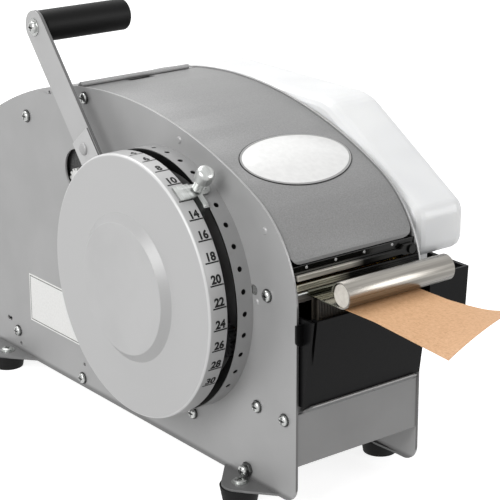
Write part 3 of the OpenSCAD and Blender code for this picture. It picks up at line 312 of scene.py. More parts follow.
def moulded(name):
    look = mouldedLooks[name]
    material, tree, shader, where = newMaterial(name)
    grain = addNode(tree, "ShaderNodeTexNoise", {"Scale": 1 / (look["grain"] * mm), "Detail": 3.0},
                    {"Vector": where})
    stops = [(grained["low"], look["dark"]), (grained["high"], look["light"])]
    colour = addNode(tree, "ShaderNodeValToRGB", {"stops": stops},
                     {"Fac": grain.outputs["Fac"]}).outputs["Color"]
    bump = addNode(tree, "ShaderNodeBump", {"Strength": grained["bump"], "Distance": look["depth"] * mm},
                   {"Height": grain.outputs["Fac"]})
    tree.links.new(colour, shader.inputs["Base Color"])
    tree.links.new(bump.outputs["Normal"], shader.inputs["Normal"])
    shader.inputs["Roughness"].default_value = look["rough"]
    shader.inputs["Specular IOR Level"].default_value = look["gloss"]
    return material


# blow-moulded polyethylene of the bottle: milky, soft light inside, faint waves in the wall
blown = {"wave": 45, "stops": ((0.3, "#e9eaeb"), (0.7, "#f2f3f3")), "bump": 0.3, "depth": 1.2, "rough": 0.3,
         "milk": 0.25, "reach": (0.012, 0.012, 0.013)}


def bottlePolyethylene(name):
    material, tree, shader, where = newMaterial(name)
    waves = addNode(tree, "ShaderNodeTexNoise", {"Scale": 1 / (blown["wave"] * mm), "Detail": 1.0},
                    {"Vector": where})
    colour = addNode(tree, "ShaderNodeValToRGB", {"stops": blown["stops"]},
                     {"Fac": waves.outputs["Fac"]}).outputs["Color"]
    bump = addNode(tree, "ShaderNodeBump", {"Strength": blown["bump"], "Distance": blown["depth"] * mm},
                   {"Height": waves.outputs["Fac"]})
    tree.links.new(colour, shader.inputs["Base Color"])
    tree.links.new(bump.outputs["Normal"], shader.inputs["Normal"])
    shader.inputs["Roughness"].default_value = blown["rough"]
    shader.inputs["Subsurface Weight"].default_value = blown["milk"]
    shader.inputs["Subsurface Radius"].default_value = blown["reach"]
    return material


# kraft paper: short fibres of several browns, drawn about 2 mm long so that they show
paper = {"mottle": 2.2, "mottleRough": 0.65, "fibre": (0.8, 4, 0.8), "ends": (0.32, 0.5, 0.7), "bump": 0.4,
         "depth": 0.05, "rough": 0.6}


def kraftPaper(name, browns):
    material, tree, shader, where = newMaterial(name)
    grain = {"Scale": 1 / (paper["mottle"] * mm), "Detail": 4.0, "Roughness": paper["mottleRough"]}
    mottle = addNode(tree, "ShaderNodeTexNoise", grain, {"Vector": where})
    stretch = addNode(tree, "ShaderNodeMapping", {"Scale": tuple(1 / (size * mm) for size in paper["fibre"])},
                      {"Vector": where})
    fibre = addNode(tree, "ShaderNodeTexNoise", {"Scale": 1.0, "Detail": 3.0, "Distortion": 0.8},
                    {"Vector": stretch.outputs["Vector"]})
    both = addNode(tree, "ShaderNodeMath", {"operation": "ADD"},
                   {0: mottle.outputs["Fac"], 1: fibre.outputs["Fac"]})
    half = addNode(tree, "ShaderNodeMath", {"operation": "MULTIPLY", 1: 0.5}, {0: both.outputs[0]})
    stops = list(zip(paper["ends"], browns))
    colour = addNode(tree, "ShaderNodeValToRGB", {"stops": stops}, {"Fac": half.outputs[0]}).outputs["Color"]
    bump = addNode(tree, "ShaderNodeBump", {"Strength": paper["bump"], "Distance": paper["depth"] * mm},
                   {"Height": fibre.outputs["Fac"]})
    tree.links.new(colour, shader.inputs["Base Color"])
    tree.links.new(bump.outputs["Normal"], shader.inputs["Normal"])
    shader.inputs["Roughness"].default_value = paper["rough"]
    return material


# side of the wound roll: fine concentric edges of the turns, 0.9 mm apart so that they show
wound = {"turn": 0.9, "stops": ((0.0, "#b58a60"), (1.0, "#d3a67a")), "rough": 0.75}


def woundPaper(name, middle):
    material, tree, shader, where = newMaterial(name)
    turns = addNode(tree, "ShaderNodeMath", {"operation": "MULTIPLY", 1: 2 * math.pi / (wound["turn"] * mm)},
                    {0: awayFrom(tree, where, middle)})
    wave = addNode(tree, "ShaderNodeMath", {"operation": "SINE"}, {0: turns.outputs[0]})
    colour = addNode(tree, "ShaderNodeValToRGB", {"stops": wound["stops"]},
                     {"Fac": wave.outputs[0]}).outputs["Color"]
    tree.links.new(colour, shader.inputs["Base Color"])
    shader.inputs["Roughness"].default_value = wound["rough"]
    return material


# brush bristle: tan natural fibre, dark where it is wet
bristle = {"grain": 1.5, "stops": ((0.3, "#1a1815"), (0.7, "#37322a")), "rough": 0.55}


def wetBristle(name):
    material, tree, shader, where = newMaterial(name)
    tone = addNode(tree, "ShaderNodeTexNoise", {"Scale": 1 / (bristle["grain"] * mm), "Detail": 2.0},
                   {"Vector": where})
    colour = addNode(tree, "ShaderNodeValToRGB", {"stops": bristle["stops"]},
                     {"Fac": tone.outputs["Fac"]}).outputs["Color"]
    tree.links.new(colour, shader.inputs["Base Color"])
    shader.inputs["Roughness"].default_value = bristle["rough"]
    return material


rollLow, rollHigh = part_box("tape_roll")
rollMiddle = (Vector(rollLow) + Vector(rollHigh)) / 2
finishes = {name: powderCoat(name) for name in powderLooks}
finishes.update({name: bareMetal(name) for name in metalLooks})
finishes.update({name: moulded(name) for name in mouldedLooks})
finishes.update({
    "texturedPaint": texturedPaint("texturedPaint", "#828282", "#939393"),
    # the rear lid: the cover's paint made lighter, as painted light on its rolled lip
    "texturedPaintLidPaintedLight": texturedPaint("texturedPaintLidPaintedLight", "#a6a6a6", "#b8b8b8"),
    "bottlePolyethylene": bottlePolyethylene("bottlePolyethylene"),
    "kraftPaper": kraftPaper("kraftPaper", ("#bd8f63", "#d2a479", "#deb48a")),
    # the web inside the machine: the same kraft paper in darker browns, as painted shade
    "kraftPaperInPaintedShade": kraftPaper("kraftPaperInPaintedShade", ("#3a2a1c", "#4a3624", "#57412c")),
    "woundPaper": woundPaper("woundPaper", rollMiddle),
    "wetBristle": wetBristle("wetBristle")})

nodeFinish = {
    "powderCoatSilver": ["left_side_frame", "right_side_frame", "rear_panel", "bottle_bracket", "frame_rivets"],
    "powderCoatBand": ["dial_band"],
    "powderCoatArm": ["lever_arm"],
    "powderCoatPaintedLight": ["arm_doubler"],
    "powderCoatPaintedShade": ["front_panel", "tank_shelf", "base_pan"],
    "stoveEnamelBlack": ["blade_guard", "blade_pivot"],
    "texturedPaint": ["top_cover"],
    "texturedPaintLidPaintedLight": ["rear_lid"],
    "platedSheet": ["tape_basket"],
    "zincPlatedSteel": ["length_stop", "thumb_screw", "tie_rods", "cover_hinge_rod", "dial_posts", "dial_stud",
                        "guide_bar", "plate_hinge_rod", "transfer_shaft", "feed_shaft", "pressure_shaft"],
    "polishedBladeSteel": ["lower_blade", "shear_blade"],
    "brushedStainless": ["pressure_plate"],
    "sawnBarEnd": ["weight_rod"],
    "machinedSteel": ["drive_gear", "lever_hub", "transfer_pinion", "transfer_gear", "feed_pinion"],
    "rolledBrass": ["tape_guides", "guide_spring"],
    "sinteredBronze": ["bushings"],
    "tankAbs": ["water_tank"],
    "footRubber": ["rubber_feet"],
    "rollerRubber": ["feed_roller", "pressure_roller"],
    "capPolyethylene": ["bottle_cap"],
    "badgeEnamel": ["cover_badge"],
    "labelFilm": ["side_label"],
    "bottlePolyethylene": ["water_bottle"],
    "kraftPaper": ["tape_strip", "tape_core"],
    "kraftPaperInPaintedShade": ["tape_web"],
    "woundPaper": ["tape_roll"],
    "wetBristle": ["front_brush", "rear_brush"],
}
for finish, names in nodeFinish.items():
    for name in names:
        data = nodes[name].data
        if not data.materials:
            data.materials.append(None)
        for i in range(len(data.materials)):
            data.materials[i] = finishes[finish]
print("materials made:", len(finishes))


# ---------- shared modelling steps
def deselectAll():
    if bpy.context.object and bpy.context.object.mode != "OBJECT":
        bpy.ops.object.mode_set(mode="OBJECT")
    bpy.ops.object.select_all(action="DESELECT")


def makeActive(piece):  # the only selected object, and the active one
    deselectAll()
    piece.select_set(True)
    bpy.context.view_layer.objects.active = piece


def settle(piece, name, body, finish):  # the place goes into the mesh, and the piece joins its body
    makeActive(piece)
    bpy.ops.object.transform_apply(location=True, rotation=True, scale=True)
    piece.name = name
    piece.data.materials.clear()
    piece.data.materials.append(finishes[finish])
    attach(piece, body)


# ---------- rounded edges and smooth shading on the carried-over pieces
edgeRadius = {
    "left_side_frame": 0.5, "right_side_frame": 0.5, "front_panel": 0.5, "arm_doubler": 0.4, "top_cover": 0.35,
    "length_stop": 0.3, "water_tank": 0.6, "pressure_plate": 0.15, "weight_rod": 0.3, "shear_blade": 0.2,
    "lower_blade": 0.2, "blade_guard": 0.3, "bottle_bracket": 0.3, "rear_panel": 0.3, "cover_badge": 0.2,
}
mergeWithin, sharpFrom, bevelFrom = 0.002 * mm, math.radians(35), math.radians(30)
for name, radius in edgeRadius.items():
    weld = nodes[name].modifiers.new("weld", "WELD")
    weld.merge_threshold = mergeWithin
    bevel = nodes[name].modifiers.new("edge", "BEVEL")
    bevel.width, bevel.segments, bevel.limit_method = radius * mm, 2, "ANGLE"
    bevel.angle_limit, bevel.use_clamp_overlap, bevel.harden_normals = sharpFrom, True, True
print("edges rounded:", len(edgeRadius))


def editAll():
    bpy.ops.object.mode_set(mode="EDIT")
    bpy.ops.mesh.select_all(action="SELECT")


def pick(piece, kind, wanted):  # selects, in edit mode, the edges or faces that the test wants
    bpy.ops.object.mode_set(mode="OBJECT")
    for part in (piece.data.vertices, piece.data.edges, piece.data.polygons):
        for item in part:
            item.select = False
    for item in piece.data.edges if kind == "EDGE" else piece.data.polygons:
        item.select = wanted(item)
    bpy.ops.object.mode_set(mode="EDIT")
    bpy.ops.mesh.select_mode(type=kind)


def isTooth(face, teeth):  # every second side face of an upright cylinder
    step = 2 * math.pi / teeth
    turn = math.atan2(face.center.y, face.center.x) % (2 * math.pi)
    return abs(face.normal.z) < 0.1 and int(turn / step) % 2 == 0


def pullTeeth(piece, teeth, out):
    pick(piece, "FACE", lambda face: isTooth(face, teeth))
    bpy.ops.mesh.extrude_faces_move(TRANSFORM_OT_shrink_fatten={"value": out * mm})
    bpy.ops.object.mode_set(mode="OBJECT")


def roundEdges(piece, width, segments):
    edge = piece.modifiers.new("edge", "BEVEL")
    edge.width, edge.segments, edge.limit_method, edge.angle_limit = width * mm, segments, "ANGLE", bevelFrom
    bpy.ops.object.modifier_apply(modifier="edge")


def addCylinder(radius, low, high, sides=40):
    deselectAll()
    bpy.ops.mesh.primitive_cylinder_add(vertices=sides, radius=radius * mm, depth=(high - low) * mm,
                                        location=(0, 0, (high + low) / 2 * mm))
    bpy.ops.object.transform_apply(location=True, rotation=True, scale=True)
    return bpy.context.object


def joined(pieces):
    deselectAll()
    for piece in pieces:
        piece.select_set(True)
    bpy.context.view_layer.objects.active = pieces[0]
    if len(pieces) > 1:
        bpy.ops.object.join()
    bpy.ops.object.transform_apply(location=True, rotation=True, scale=True)
    return bpy.context.object


def copyTo(piece, x, y, z, side):  # a copy whose own +Z points to the left (side -1) or to the right (side 1)
    makeActive(piece)
    bpy.ops.object.duplicate(linked=False)
    twin = bpy.context.object
    twin.rotation_euler = (0, side * math.pi / 2, 0)
    twin.location = place(x, y, z)
    return twin


def cutAway(piece, cutter):
    cut = piece.modifiers.new("cut", "BOOLEAN")
    cut.operation, cut.object, cut.solver = "DIFFERENCE", cutter, "EXACT"
    makeActive(piece)
    bpy.ops.object.modifier_apply(modifier="cut")
    bpy.data.objects.remove(cutter)


# ---------- cross-recess screws, lock washers and nuts of the side plates
screw = {"plate": 2.0, "head": 4.6, "high": 2.8, "skirt": 0.45, "domeTurns": (25, 48, 68, 84), "smooth": 35,
         "shank": 2.5, "shankLong": 6.0, "slotWide": 1.5, "slotLong": 6.0, "slotDeep": 1.7, "shadeDeep": 0.9,
         "shadeGap": 0.06, "washer": 5.0, "wideWasher": 5.4, "washerThick": 1.0, "teeth": 36, "toothOut": 0.55,
         "nut": 6.4, "nutThick": 3.2, "nutEdge": 0.5, "nutSeat": 5.6}
leftScrews = [(391.7, 241.7), (292.8, 277.6), (36.4, 168.1), (49.6, 69.4), (14.7, 69.4), (137.6, 33.7),
              (424.4, 21.4), (310.7, 9.0), (62.1, 9.5)]
rightScrews = leftScrews[3:]  # the first three hold pieces of the left side only
hexPlaces = [(62.1, 9.5)]
tieRodEnds = [(244.8, 101.3), (465.2, 101.3)]
tabOut = 26.5  # the folded tabs of the feet stand out this far from the plates
plateWide = (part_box("right_side_frame")[1][0] - outerX) / mm - tabOut
coverPivot = (292.8, 277.6)
# a sunk screw by the mouth, the cover's pin, its head, and the nuts of the tie rods
extras = [{"radius": 4.5, "sides": 32, "bevel": 0.4, "high": 2.6, "at": [(3.0, 53.8, 167.9, -1)]},
          {"radius": 2.5, "sides": 24, "bevel": 0.2, "high": 7.0, "at": [(plateWide - 7, *coverPivot, 1)]},
          {"radius": 4.6, "sides": 32, "bevel": 0.3, "high": 0.9, "at": [(plateWide, *coverPivot, 1)]},
          {"radius": 5.2, "sides": 6, "bevel": 0.4, "high": 3.4,
           "at": [(plateWide, *end, 1) for end in tieRodEnds] + [(0.0, *tieRodEnds[1], -1)]}]


def crossBars(low, high, shrink=0.0):
    bars = []
    for turn in (0, math.pi / 2):
        deselectAll()
        bpy.ops.mesh.primitive_cube_add(size=1, location=(0, 0, (low + high) / 2 * mm), rotation=(0, 0, turn))
        bar = bpy.context.object
        bar.scale = ((screw["slotWide"] - shrink) * mm, (screw["slotLong"] - shrink) * mm, (high - low) * mm)
        bpy.ops.object.transform_apply(location=True, rotation=True, scale=True)
        bars.append(bar)
    return bars


def modelHead(radius, high):
    head = addCylinder(radius, 0, screw["skirt"] * high)
    pick(head, "FACE", lambda face: face.normal.z > 0.9)
    wide, rise, dome = 1.0, 0.0, (1 - screw["skirt"]) * high * mm
    for turn in screw["domeTurns"]:
        across, up = math.cos(math.radians(turn)), math.sin(math.radians(turn))
        bpy.ops.mesh.extrude_region_move(TRANSFORM_OT_translate={"value": (0, 0, (up - rise) * dome)})
        bpy.ops.transform.resize(value=(across / wide, across / wide, 1))
        wide, rise = across, up
    bpy.ops.object.mode_set(mode="OBJECT")
    for bar in crossBars(high - screw["slotDeep"], high + 1):
        cutAway(head, bar)
    makeActive(head)
    bpy.ops.object.shade_smooth_by_angle(angle=math.radians(screw["smooth"]))
    return head


def modelLockWasher(radius, thick):
    washer = addCylinder(radius, 0, thick, screw["teeth"])
    pullTeeth(washer, screw["teeth"], screw["toothOut"])
    return washer


def modelNut(radius, thick):
    nut = addCylinder(radius, 0, thick, 6)
    roundEdges(nut, screw["nutEdge"], 2)
    return nut


def modelOil(high):  # the dark floor of a cross recess: painted shade
    low = high - screw["slotDeep"]
    return joined(crossBars(low + screw["shadeGap"], low + screw["shadeDeep"], 2 * screw["shadeGap"]))


def extraFasteners():
    parts = []
    for extra in extras:
        for x, y, z, side in extra["at"]:
            part = addCylinder(extra["radius"], 0, extra["high"], extra["sides"])
            roundEdges(part, extra["bevel"], 2)
            part.rotation_euler = (0, side * math.pi / 2, 0)
            part.location = place(x, y, z)
            parts.append(part)
    return parts


head = modelHead(screw["head"], screw["high"])
recessShade = modelOil(screw["high"])
washer = modelLockWasher(screw["washer"], screw["washerThick"])
shank = addCylinder(screw["shank"], -screw["shankLong"], screw["washerThick"], 24)
longShank = addCylinder(screw["shank"], -screw["shankLong"], screw["nutSeat"], 24)
nut = modelNut(screw["nut"], screw["nutThick"])
wide = modelLockWasher(screw["wideWasher"], screw["washerThick"])
heads, recessShades, washers = [], [], []
for side, sheet, places in ((-1, 0.0, leftScrews), (1, plateWide, rightScrews)):
    for y, z in places:
        seat = screw["nutSeat"] if (y, z) in hexPlaces else screw["washerThick"]
        stem = longShank if (y, z) in hexPlaces else shank
        heads += [copyTo(head, sheet + side * seat, y, z, side), copyTo(stem, sheet, y, z, side)]
        recessShades.append(copyTo(recessShade, sheet + side * seat, y, z, side))
        under = nut if (y, z) in hexPlaces else wide if (y, z) == leftScrews[0] else washer
        washers.append(copyTo(under, sheet, y, z, side))
plateScrews = joined(heads + extraFasteners())
settle(plateScrews, "plate_screws", "frame", "brightZincScrew")
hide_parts("frame_screws")
# painted shade in the screws' cross recesses
settle(joined(recessShades), "screw_recess_painted_shade", "frame", "darkWasherAndPaintedShade")
settle(joined(washers), "lock_washers", "frame", "darkWasherAndPaintedShade")
for tool in (head, recessShade, washer, shank, longShank, nut, wide):
    bpy.data.objects.remove(tool)
print("screws modelled:", len(leftScrews) + len(rightScrews))

# ---------- the screws of the feet, from above through the folded tabs
foot = {"y": (59.0, 429.0), "out": 11.0, "head": 5.4, "headHigh": 2.4, "washer": 6.6, "washerThick": 0.8,
        "shank": 2.8, "shankDeep": 9.0}
footParts, footRecessShades = [], []
for y in foot["y"]:
    for x in (-foot["out"], plateWide + foot["out"]):
        footHead = modelHead(foot["head"], foot["headHigh"])
        footRecessShade = modelOil(foot["headHigh"])
        footWasher = modelLockWasher(foot["washer"], foot["washerThick"])
        footShank = addCylinder(foot["shank"], -foot["shankDeep"], screw["plate"], 24)
        footHead.location = footRecessShade.location = place(x, y, screw["plate"] + foot["washerThick"])
        footWasher.location = place(x, y, screw["plate"])
        footShank.location = place(x, y, 0)
        footParts += [footHead, footWasher, footShank]
        footRecessShades.append(footRecessShade)
footScrews = joined(footParts)
settle(footScrews, "feet_screws", "frame", "zincPlatedSteel")
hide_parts("foot_screws")
# painted shade in the recesses of the feet screws
settle(joined(footRecessShades), "feet_recess_painted_shade", "frame", "darkWasherAndPaintedShade")
print("feet fastened")

# ---------- the grip on its bolt with a toothed washer, and the domed rivet of the lever's doubler
grip = {"head": 5.2, "headHigh": 3.4, "washer": 7.4, "washerThick": 1.1, "bolt": 4.0, "boltEnd": 70.5,
        "nut": 7.5, "nutThick": 3.0, "radius": 14.0, "long": 90.0, "edge": 3.0, "bore": 4.2, "sink": 8.5,
        "sinkDeep": 5.0, "smooth": 35}
domed = {"radius": 5.4, "at": (261.8, 242.3), "edge": 1.0, "smooth": 40,
         "dome": ((0.93, 0.7), (0.82, 0.5), (0.6, 0.3), (0.3, 0.08))}
gripLow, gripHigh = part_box("handle_grip")
gripY, gripZ = ((gripLow[i] + gripHigh[i]) / 2 for i in (1, 2))
gripY, gripZ = (gripY - frontY) / mm, (gripZ - bottomZ) / mm
armFace = (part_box("lever_arm")[0][0] - outerX) / mm
doublerFace = (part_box("arm_doubler")[0][0] - outerX) / mm
boltHead = modelHead(grip["head"], grip["headHigh"])
boltRecessShade = modelOil(grip["headHigh"])
star = modelLockWasher(grip["washer"], grip["washerThick"])
star.rotation_euler = (0, -math.pi / 2, 0)
star.location = place(armFace, gripY, gripZ)
for piece in (boltHead, boltRecessShade):
    piece.rotation_euler = (0, -math.pi / 2, 0)
    piece.location = place(armFace - grip["washerThick"], gripY, gripZ)
boltRod = addCylinder(grip["bolt"], 0, grip["boltEnd"] - armFace, 32)
boltNut = modelNut(grip["nut"], grip["nutThick"])
for piece, start in ((boltRod, armFace), (boltNut, grip["boltEnd"] - grip["nutThick"])):
    piece.rotation_euler = (0, math.pi / 2, 0)
    piece.location = place(start, gripY, gripZ)
bolt = joined([boltHead, boltRod, boltNut])
settle(bolt, "grip_bolt", "lever", "brightZincScrew")
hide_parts("lever_fasteners")
# painted shade in the bolt head's recess
settle(boltRecessShade, "grip_recess_painted_shade", "lever", "inkAndPaintedShade")
settle(star, "grip_star_washer", "lever", "brightZincScrew")
sleeve = addCylinder(grip["radius"], 0, grip["long"], 72)
roundEdges(sleeve, grip["edge"], 6)
cutAway(sleeve, addCylinder(grip["bore"], -1, grip["long"] + 1, 48))
cutAway(sleeve, addCylinder(grip["sink"], grip["long"] - grip["sinkDeep"], grip["long"] + 1, 48))
makeActive(sleeve)
bpy.ops.object.shade_smooth_by_angle(angle=math.radians(grip["smooth"]))
sleeve.rotation_euler = (0, math.pi / 2, 0)
sleeve.location = place((gripLow[0] - outerX) / mm, gripY, gripZ)
settle(sleeve, "lever_grip", "grip", "gripPvc")
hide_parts("handle_grip")

rivet = addCylinder(domed["radius"], 0, domed["edge"], 48)
pick(rivet, "FACE", lambda face: face.normal.z > 0.9)
for share, up in domed["dome"]:
    bpy.ops.mesh.extrude_region_move(TRANSFORM_OT_translate={"value": (0, 0, up * mm)})
    bpy.ops.transform.resize(value=(share, share, 1))
bpy.ops.object.mode_set(mode="OBJECT")
bpy.ops.object.shade_smooth_by_angle(angle=math.radians(domed["smooth"]))
rivet.rotation_euler = (0, -math.pi / 2, 0)
rivet.location = place(doublerFace, *domed["at"])
settle(rivet, "doubler_rivet", "lever", "powderCoatSilver")
print("lever finished")

# ---------- polished strip across the mouth that holds the tape down, with its rolled edges
holdDown = {"left": 2.2, "right": 128.8, "back": 4.1, "front": 2.7, "low": 179.9, "high": 185.0,
            "groove": 0.5, "margin": 0.35, "bands": 3}
deselectAll()
bpy.ops.mesh.primitive_cube_add(size=1)
band = bpy.context.object
band.scale = ((holdDown["right"] - holdDown["left"]) * mm, (holdDown["back"] - holdDown["front"]) * mm,
              (holdDown["high"] - holdDown["low"]) * mm)
band.location = place((holdDown["left"] + holdDown["right"]) / 2, (holdDown["back"] + holdDown["front"]) / 2,
                      (holdDown["low"] + holdDown["high"]) / 2)
bpy.ops.object.transform_apply(location=True, rotation=True, scale=True)
for share in range(1, holdDown["bands"]):
    editAll()
    cutZ = holdDown["low"] + (holdDown["high"] - holdDown["low"]) * share / holdDown["bands"]
    bpy.ops.mesh.bisect(plane_co=place(0, 0, cutZ), plane_no=(0, 0, 1))
    bpy.ops.object.mode_set(mode="OBJECT")
pick(band, "FACE", lambda face: face.normal.y < -0.9)
bpy.ops.mesh.inset(thickness=holdDown["margin"] * mm, depth=holdDown["groove"] * mm, use_individual=True)
bpy.ops.object.mode_set(mode="OBJECT")
settle(band, "hold_down_strip", "frame", "rolledNickel")
print("mouth finished")

# ---------- behind the window: a dark plate beside the roll, partly painted shade that hides the lit roll, and a toothed nylon wheel on it
guide = {"left": 7.0, "thick": 1.2, "from": (268, 98), "to": (350, 240), "corner": 12, "cornerSteps": 8,
         "wheelAt": (316.0, 196.0), "wheel": 12.0, "wheelThick": 3.0, "teeth": 28, "tooth": 2.0}
deselectAll()
bpy.ops.mesh.primitive_cube_add(size=1)
plate = bpy.context.object
plate.scale = (guide["thick"] * mm, (guide["to"][0] - guide["from"][0]) * mm,
               (guide["to"][1] - guide["from"][1]) * mm)
plate.location = place(guide["left"] + guide["thick"] / 2, (guide["from"][0] + guide["to"][0]) / 2,
                       (guide["from"][1] + guide["to"][1]) / 2)
bpy.ops.object.transform_apply(location=True, rotation=True, scale=True)
ends, alongX = plate.data.vertices, 0.9 * guide["thick"] * mm
pick(plate, "EDGE", lambda edge: abs(ends[edge.vertices[0]].co.x - ends[edge.vertices[1]].co.x) > alongX)
bpy.ops.mesh.bevel(offset=guide["corner"] * mm, segments=guide["cornerSteps"])
bpy.ops.object.mode_set(mode="OBJECT")
settle(plate, "window_shade_plate", "frame", "darkBoardAndPaintedShade")
cog = addCylinder(guide["wheel"] - guide["tooth"], 0, guide["wheelThick"], guide["teeth"])
pullTeeth(cog, guide["teeth"], guide["tooth"])
cog.rotation_euler = (0, -math.pi / 2, 0)
cog.location = place(guide["left"], *guide["wheelAt"])
settle(cog, "nylon_cog", "frame", "nylonWhite")
print("window filled")

# ---------- the badge's dark line and slim rim, laid on the curved cover
badgeRim = {"rim": 1.7, "line": 0.8, "rimLift": 0.7, "lineLift": 0.35, "steps": 128, "rayFrom": 0.1}
badgeLow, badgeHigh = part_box("cover_badge")


def ovalRing(name, inner, outer, lift, finish):  # a ring round the badge, laid on the cover by rays from above
    deselectAll()
    bpy.ops.mesh.primitive_circle_add(vertices=badgeRim["steps"], radius=1, fill_type="NOTHING")
    ring = bpy.context.object
    bpy.ops.object.mode_set(mode="EDIT")
    bpy.ops.mesh.select_mode(type="EDGE")
    bpy.ops.mesh.select_all(action="SELECT")
    bpy.ops.mesh.extrude_region_move()
    bpy.ops.object.mode_set(mode="OBJECT")
    halfX, halfY = ((badgeHigh[i] - badgeLow[i]) / 2 for i in (0, 1))
    middle = (Vector(badgeLow) + Vector(badgeHigh)) / 2
    slope = math.cos(math.atan2(badgeHigh[2] - badgeLow[2], badgeHigh[1] - badgeLow[1]))
    for i, vertex in enumerate(ring.data.vertices):
        grow = (inner if i < badgeRim["steps"] else outer) * mm
        x = middle.x + vertex.co.x * (halfX + grow)
        y = middle.y + vertex.co.y * (halfY + grow * slope)
        above = Vector((x, y, badgeHigh[2] + badgeRim["rayFrom"]))
        spot, normal = nodes["top_cover"].ray_cast(above, Vector((0, 0, -1)))[1:3]
        vertex.co = spot + normal * lift * mm
    editAll()
    bpy.ops.mesh.normals_make_consistent(inside=False)
    bpy.ops.object.mode_set(mode="OBJECT")
    if sum(face.normal.z for face in ring.data.polygons) < 0:
        ring.data.flip_normals()
    thick = ring.modifiers.new("thick", "SOLIDIFY")
    thick.thickness, thick.offset = lift * mm, -1
    bpy.ops.object.modifier_apply(modifier="thick")
    settle(ring, name, "cover", finish)


ovalRing("badge_rim", 0.0, badgeRim["rim"], badgeRim["rimLift"], "powderCoatBand")
ovalRing("badge_line", badgeRim["rim"], badgeRim["rim"] + badgeRim["line"], badgeRim["lineLift"], "inkAndPaintedShade")
print("badge rimmed")

# ---------- the dial's drawn cover, spun from its section: raised middle, dished face, narrow rolled edge
dish = {"wall": 1.6, "top": -51.0, "topR": 56.0, "foot": -45.0, "footR": 63.5, "face": -43.4, "edge": 2.6,
        "rimEnd": -25.6, "dip": 0.04, "dipIn": 1.0, "innerEdge": 1.0, "innerFoot": 0.3, "innerTop": 0.7,
        "arc": 8, "turns": 144, "rounding": 0.5, "smooth": 35}
rimR, faceR = dialR / mm, dialR / mm - dish["edge"]
section = [(dish["top"], 0), (dish["top"], dish["topR"]), (dish["foot"], dish["footR"]),
           (dish["face"] - dish["dip"], faceR - dish["dipIn"])]
for i in range(dish["arc"] + 1):
    turn = math.pi / 2 * i / dish["arc"]
    section.append((dish["face"] + dish["edge"] * (1 - math.cos(turn)),
                    faceR + dish["edge"] * math.sin(turn)))
innerFace, innerR = dish["face"] + dish["wall"], rimR - dish["wall"]
section += [(dish["rimEnd"], rimR), (dish["rimEnd"], innerR),
            (innerFace + dish["innerEdge"], innerR), (innerFace, innerR - dish["innerEdge"]),
            (dish["foot"] + dish["wall"], dish["footR"] + dish["innerFoot"]),
            (dish["top"] + dish["wall"], dish["topR"] - dish["innerTop"]), (dish["top"] + dish["wall"], 0)]
deselectAll()
bpy.ops.mesh.primitive_circle_add(vertices=len(section), radius=1, fill_type="NOTHING")
cover = bpy.context.object
for vertex, (x, away) in zip(cover.data.vertices, section):
    vertex.co = (outerX + x * mm, away * mm, 0)
pick(cover, "EDGE", lambda edge: set(edge.vertices) == {0, len(section) - 1})  # the edge along the axle
bpy.ops.mesh.delete(type="EDGE")
bpy.ops.object.mode_set(mode="OBJECT")
spin = cover.modifiers.new("spin", "SCREW")
spin.axis, spin.steps, spin.render_steps, spin.use_merge_vertices = "X", dish["turns"], dish["turns"], True
bpy.ops.object.modifier_apply(modifier="spin")
editAll()
bpy.ops.mesh.remove_doubles(threshold=mergeWithin)
bpy.ops.mesh.normals_make_consistent(inside=False)
bpy.ops.object.mode_set(mode="OBJECT")
bpy.ops.object.shade_smooth_by_angle(angle=math.radians(dish["smooth"]))
edge = cover.modifiers.new("edge", "BEVEL")
edge.width, edge.segments, edge.limit_method = dish["rounding"] * mm, 2, "ANGLE"
edge.angle_limit, edge.harden_normals = bevelFrom, True
bpy.ops.object.modifier_apply(modifier="edge")
cover.location = (0, dialY, dialZ)
settle(cover, "dial_dish", "frame", "powderCoatPale")
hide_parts("dial_cover")
print("dial spun")

# ---------- the dial's scale: a line for each second inch, and its number
scale = {"first": 4, "last": 30, "step": 2, "zero": 108.7, "perInch": 4.67, "lineLeft": -39.2,
         "lineRight": -26.2, "lineWidth": 1.25, "digit": 6.6, "capShare": 0.70, "bold": 0.45, "lift": 0.06,
         "gap": 1.6}


def wrapOnRim(piece, angle):  # x runs along the axle, y is bent upwards round the rim from the given angle
    reach = dialR + scale["lift"] * mm
    for vertex in piece.data.vertices:
        x, y = vertex.co.x, vertex.co.y
        turn = math.radians(angle) + y / reach
        vertex.co = (outerX + x, dialY - reach * math.cos(turn), dialZ + reach * math.sin(turn))


def printedLine(angle):
    deselectAll()
    bpy.ops.mesh.primitive_plane_add(size=1)
    line = bpy.context.object
    line.scale = ((scale["lineRight"] - scale["lineLeft"]) * mm, scale["lineWidth"] * mm, 1)
    line.location = ((scale["lineRight"] + scale["lineLeft"]) / 2 * mm, 0, 0)
    bpy.ops.object.transform_apply(location=True, rotation=True, scale=True)
    wrapOnRim(line, angle)
    return line


def printedNumber(value, angle):
    deselectAll()
    bpy.ops.object.text_add()
    text = bpy.context.object
    text.data.body, text.data.size = str(value), scale["digit"] / scale["capShare"] * mm
    text.data.align_x, text.data.align_y = "CENTER", "BOTTOM_BASELINE"
    text.data.offset = scale["bold"] * mm
    text.data.resolution_u = 4
    bpy.ops.object.convert(target="MESH")
    number = bpy.context.object
    for vertex in number.data.vertices:
        vertex.co.x += (scale["lineLeft"] + scale["lineRight"]) / 2 * mm
        vertex.co.y += scale["gap"] * mm
    wrapOnRim(number, angle)
    return number


printed = []
for value in range(scale["first"], scale["last"] + 1, scale["step"]):
    angle = scale["zero"] - scale["perInch"] * value
    printed += [printedLine(angle), printedNumber(value, angle)]
settle(joined(printed), "dial_scale", "frame", "inkAndPaintedShade")
print("scale printed")

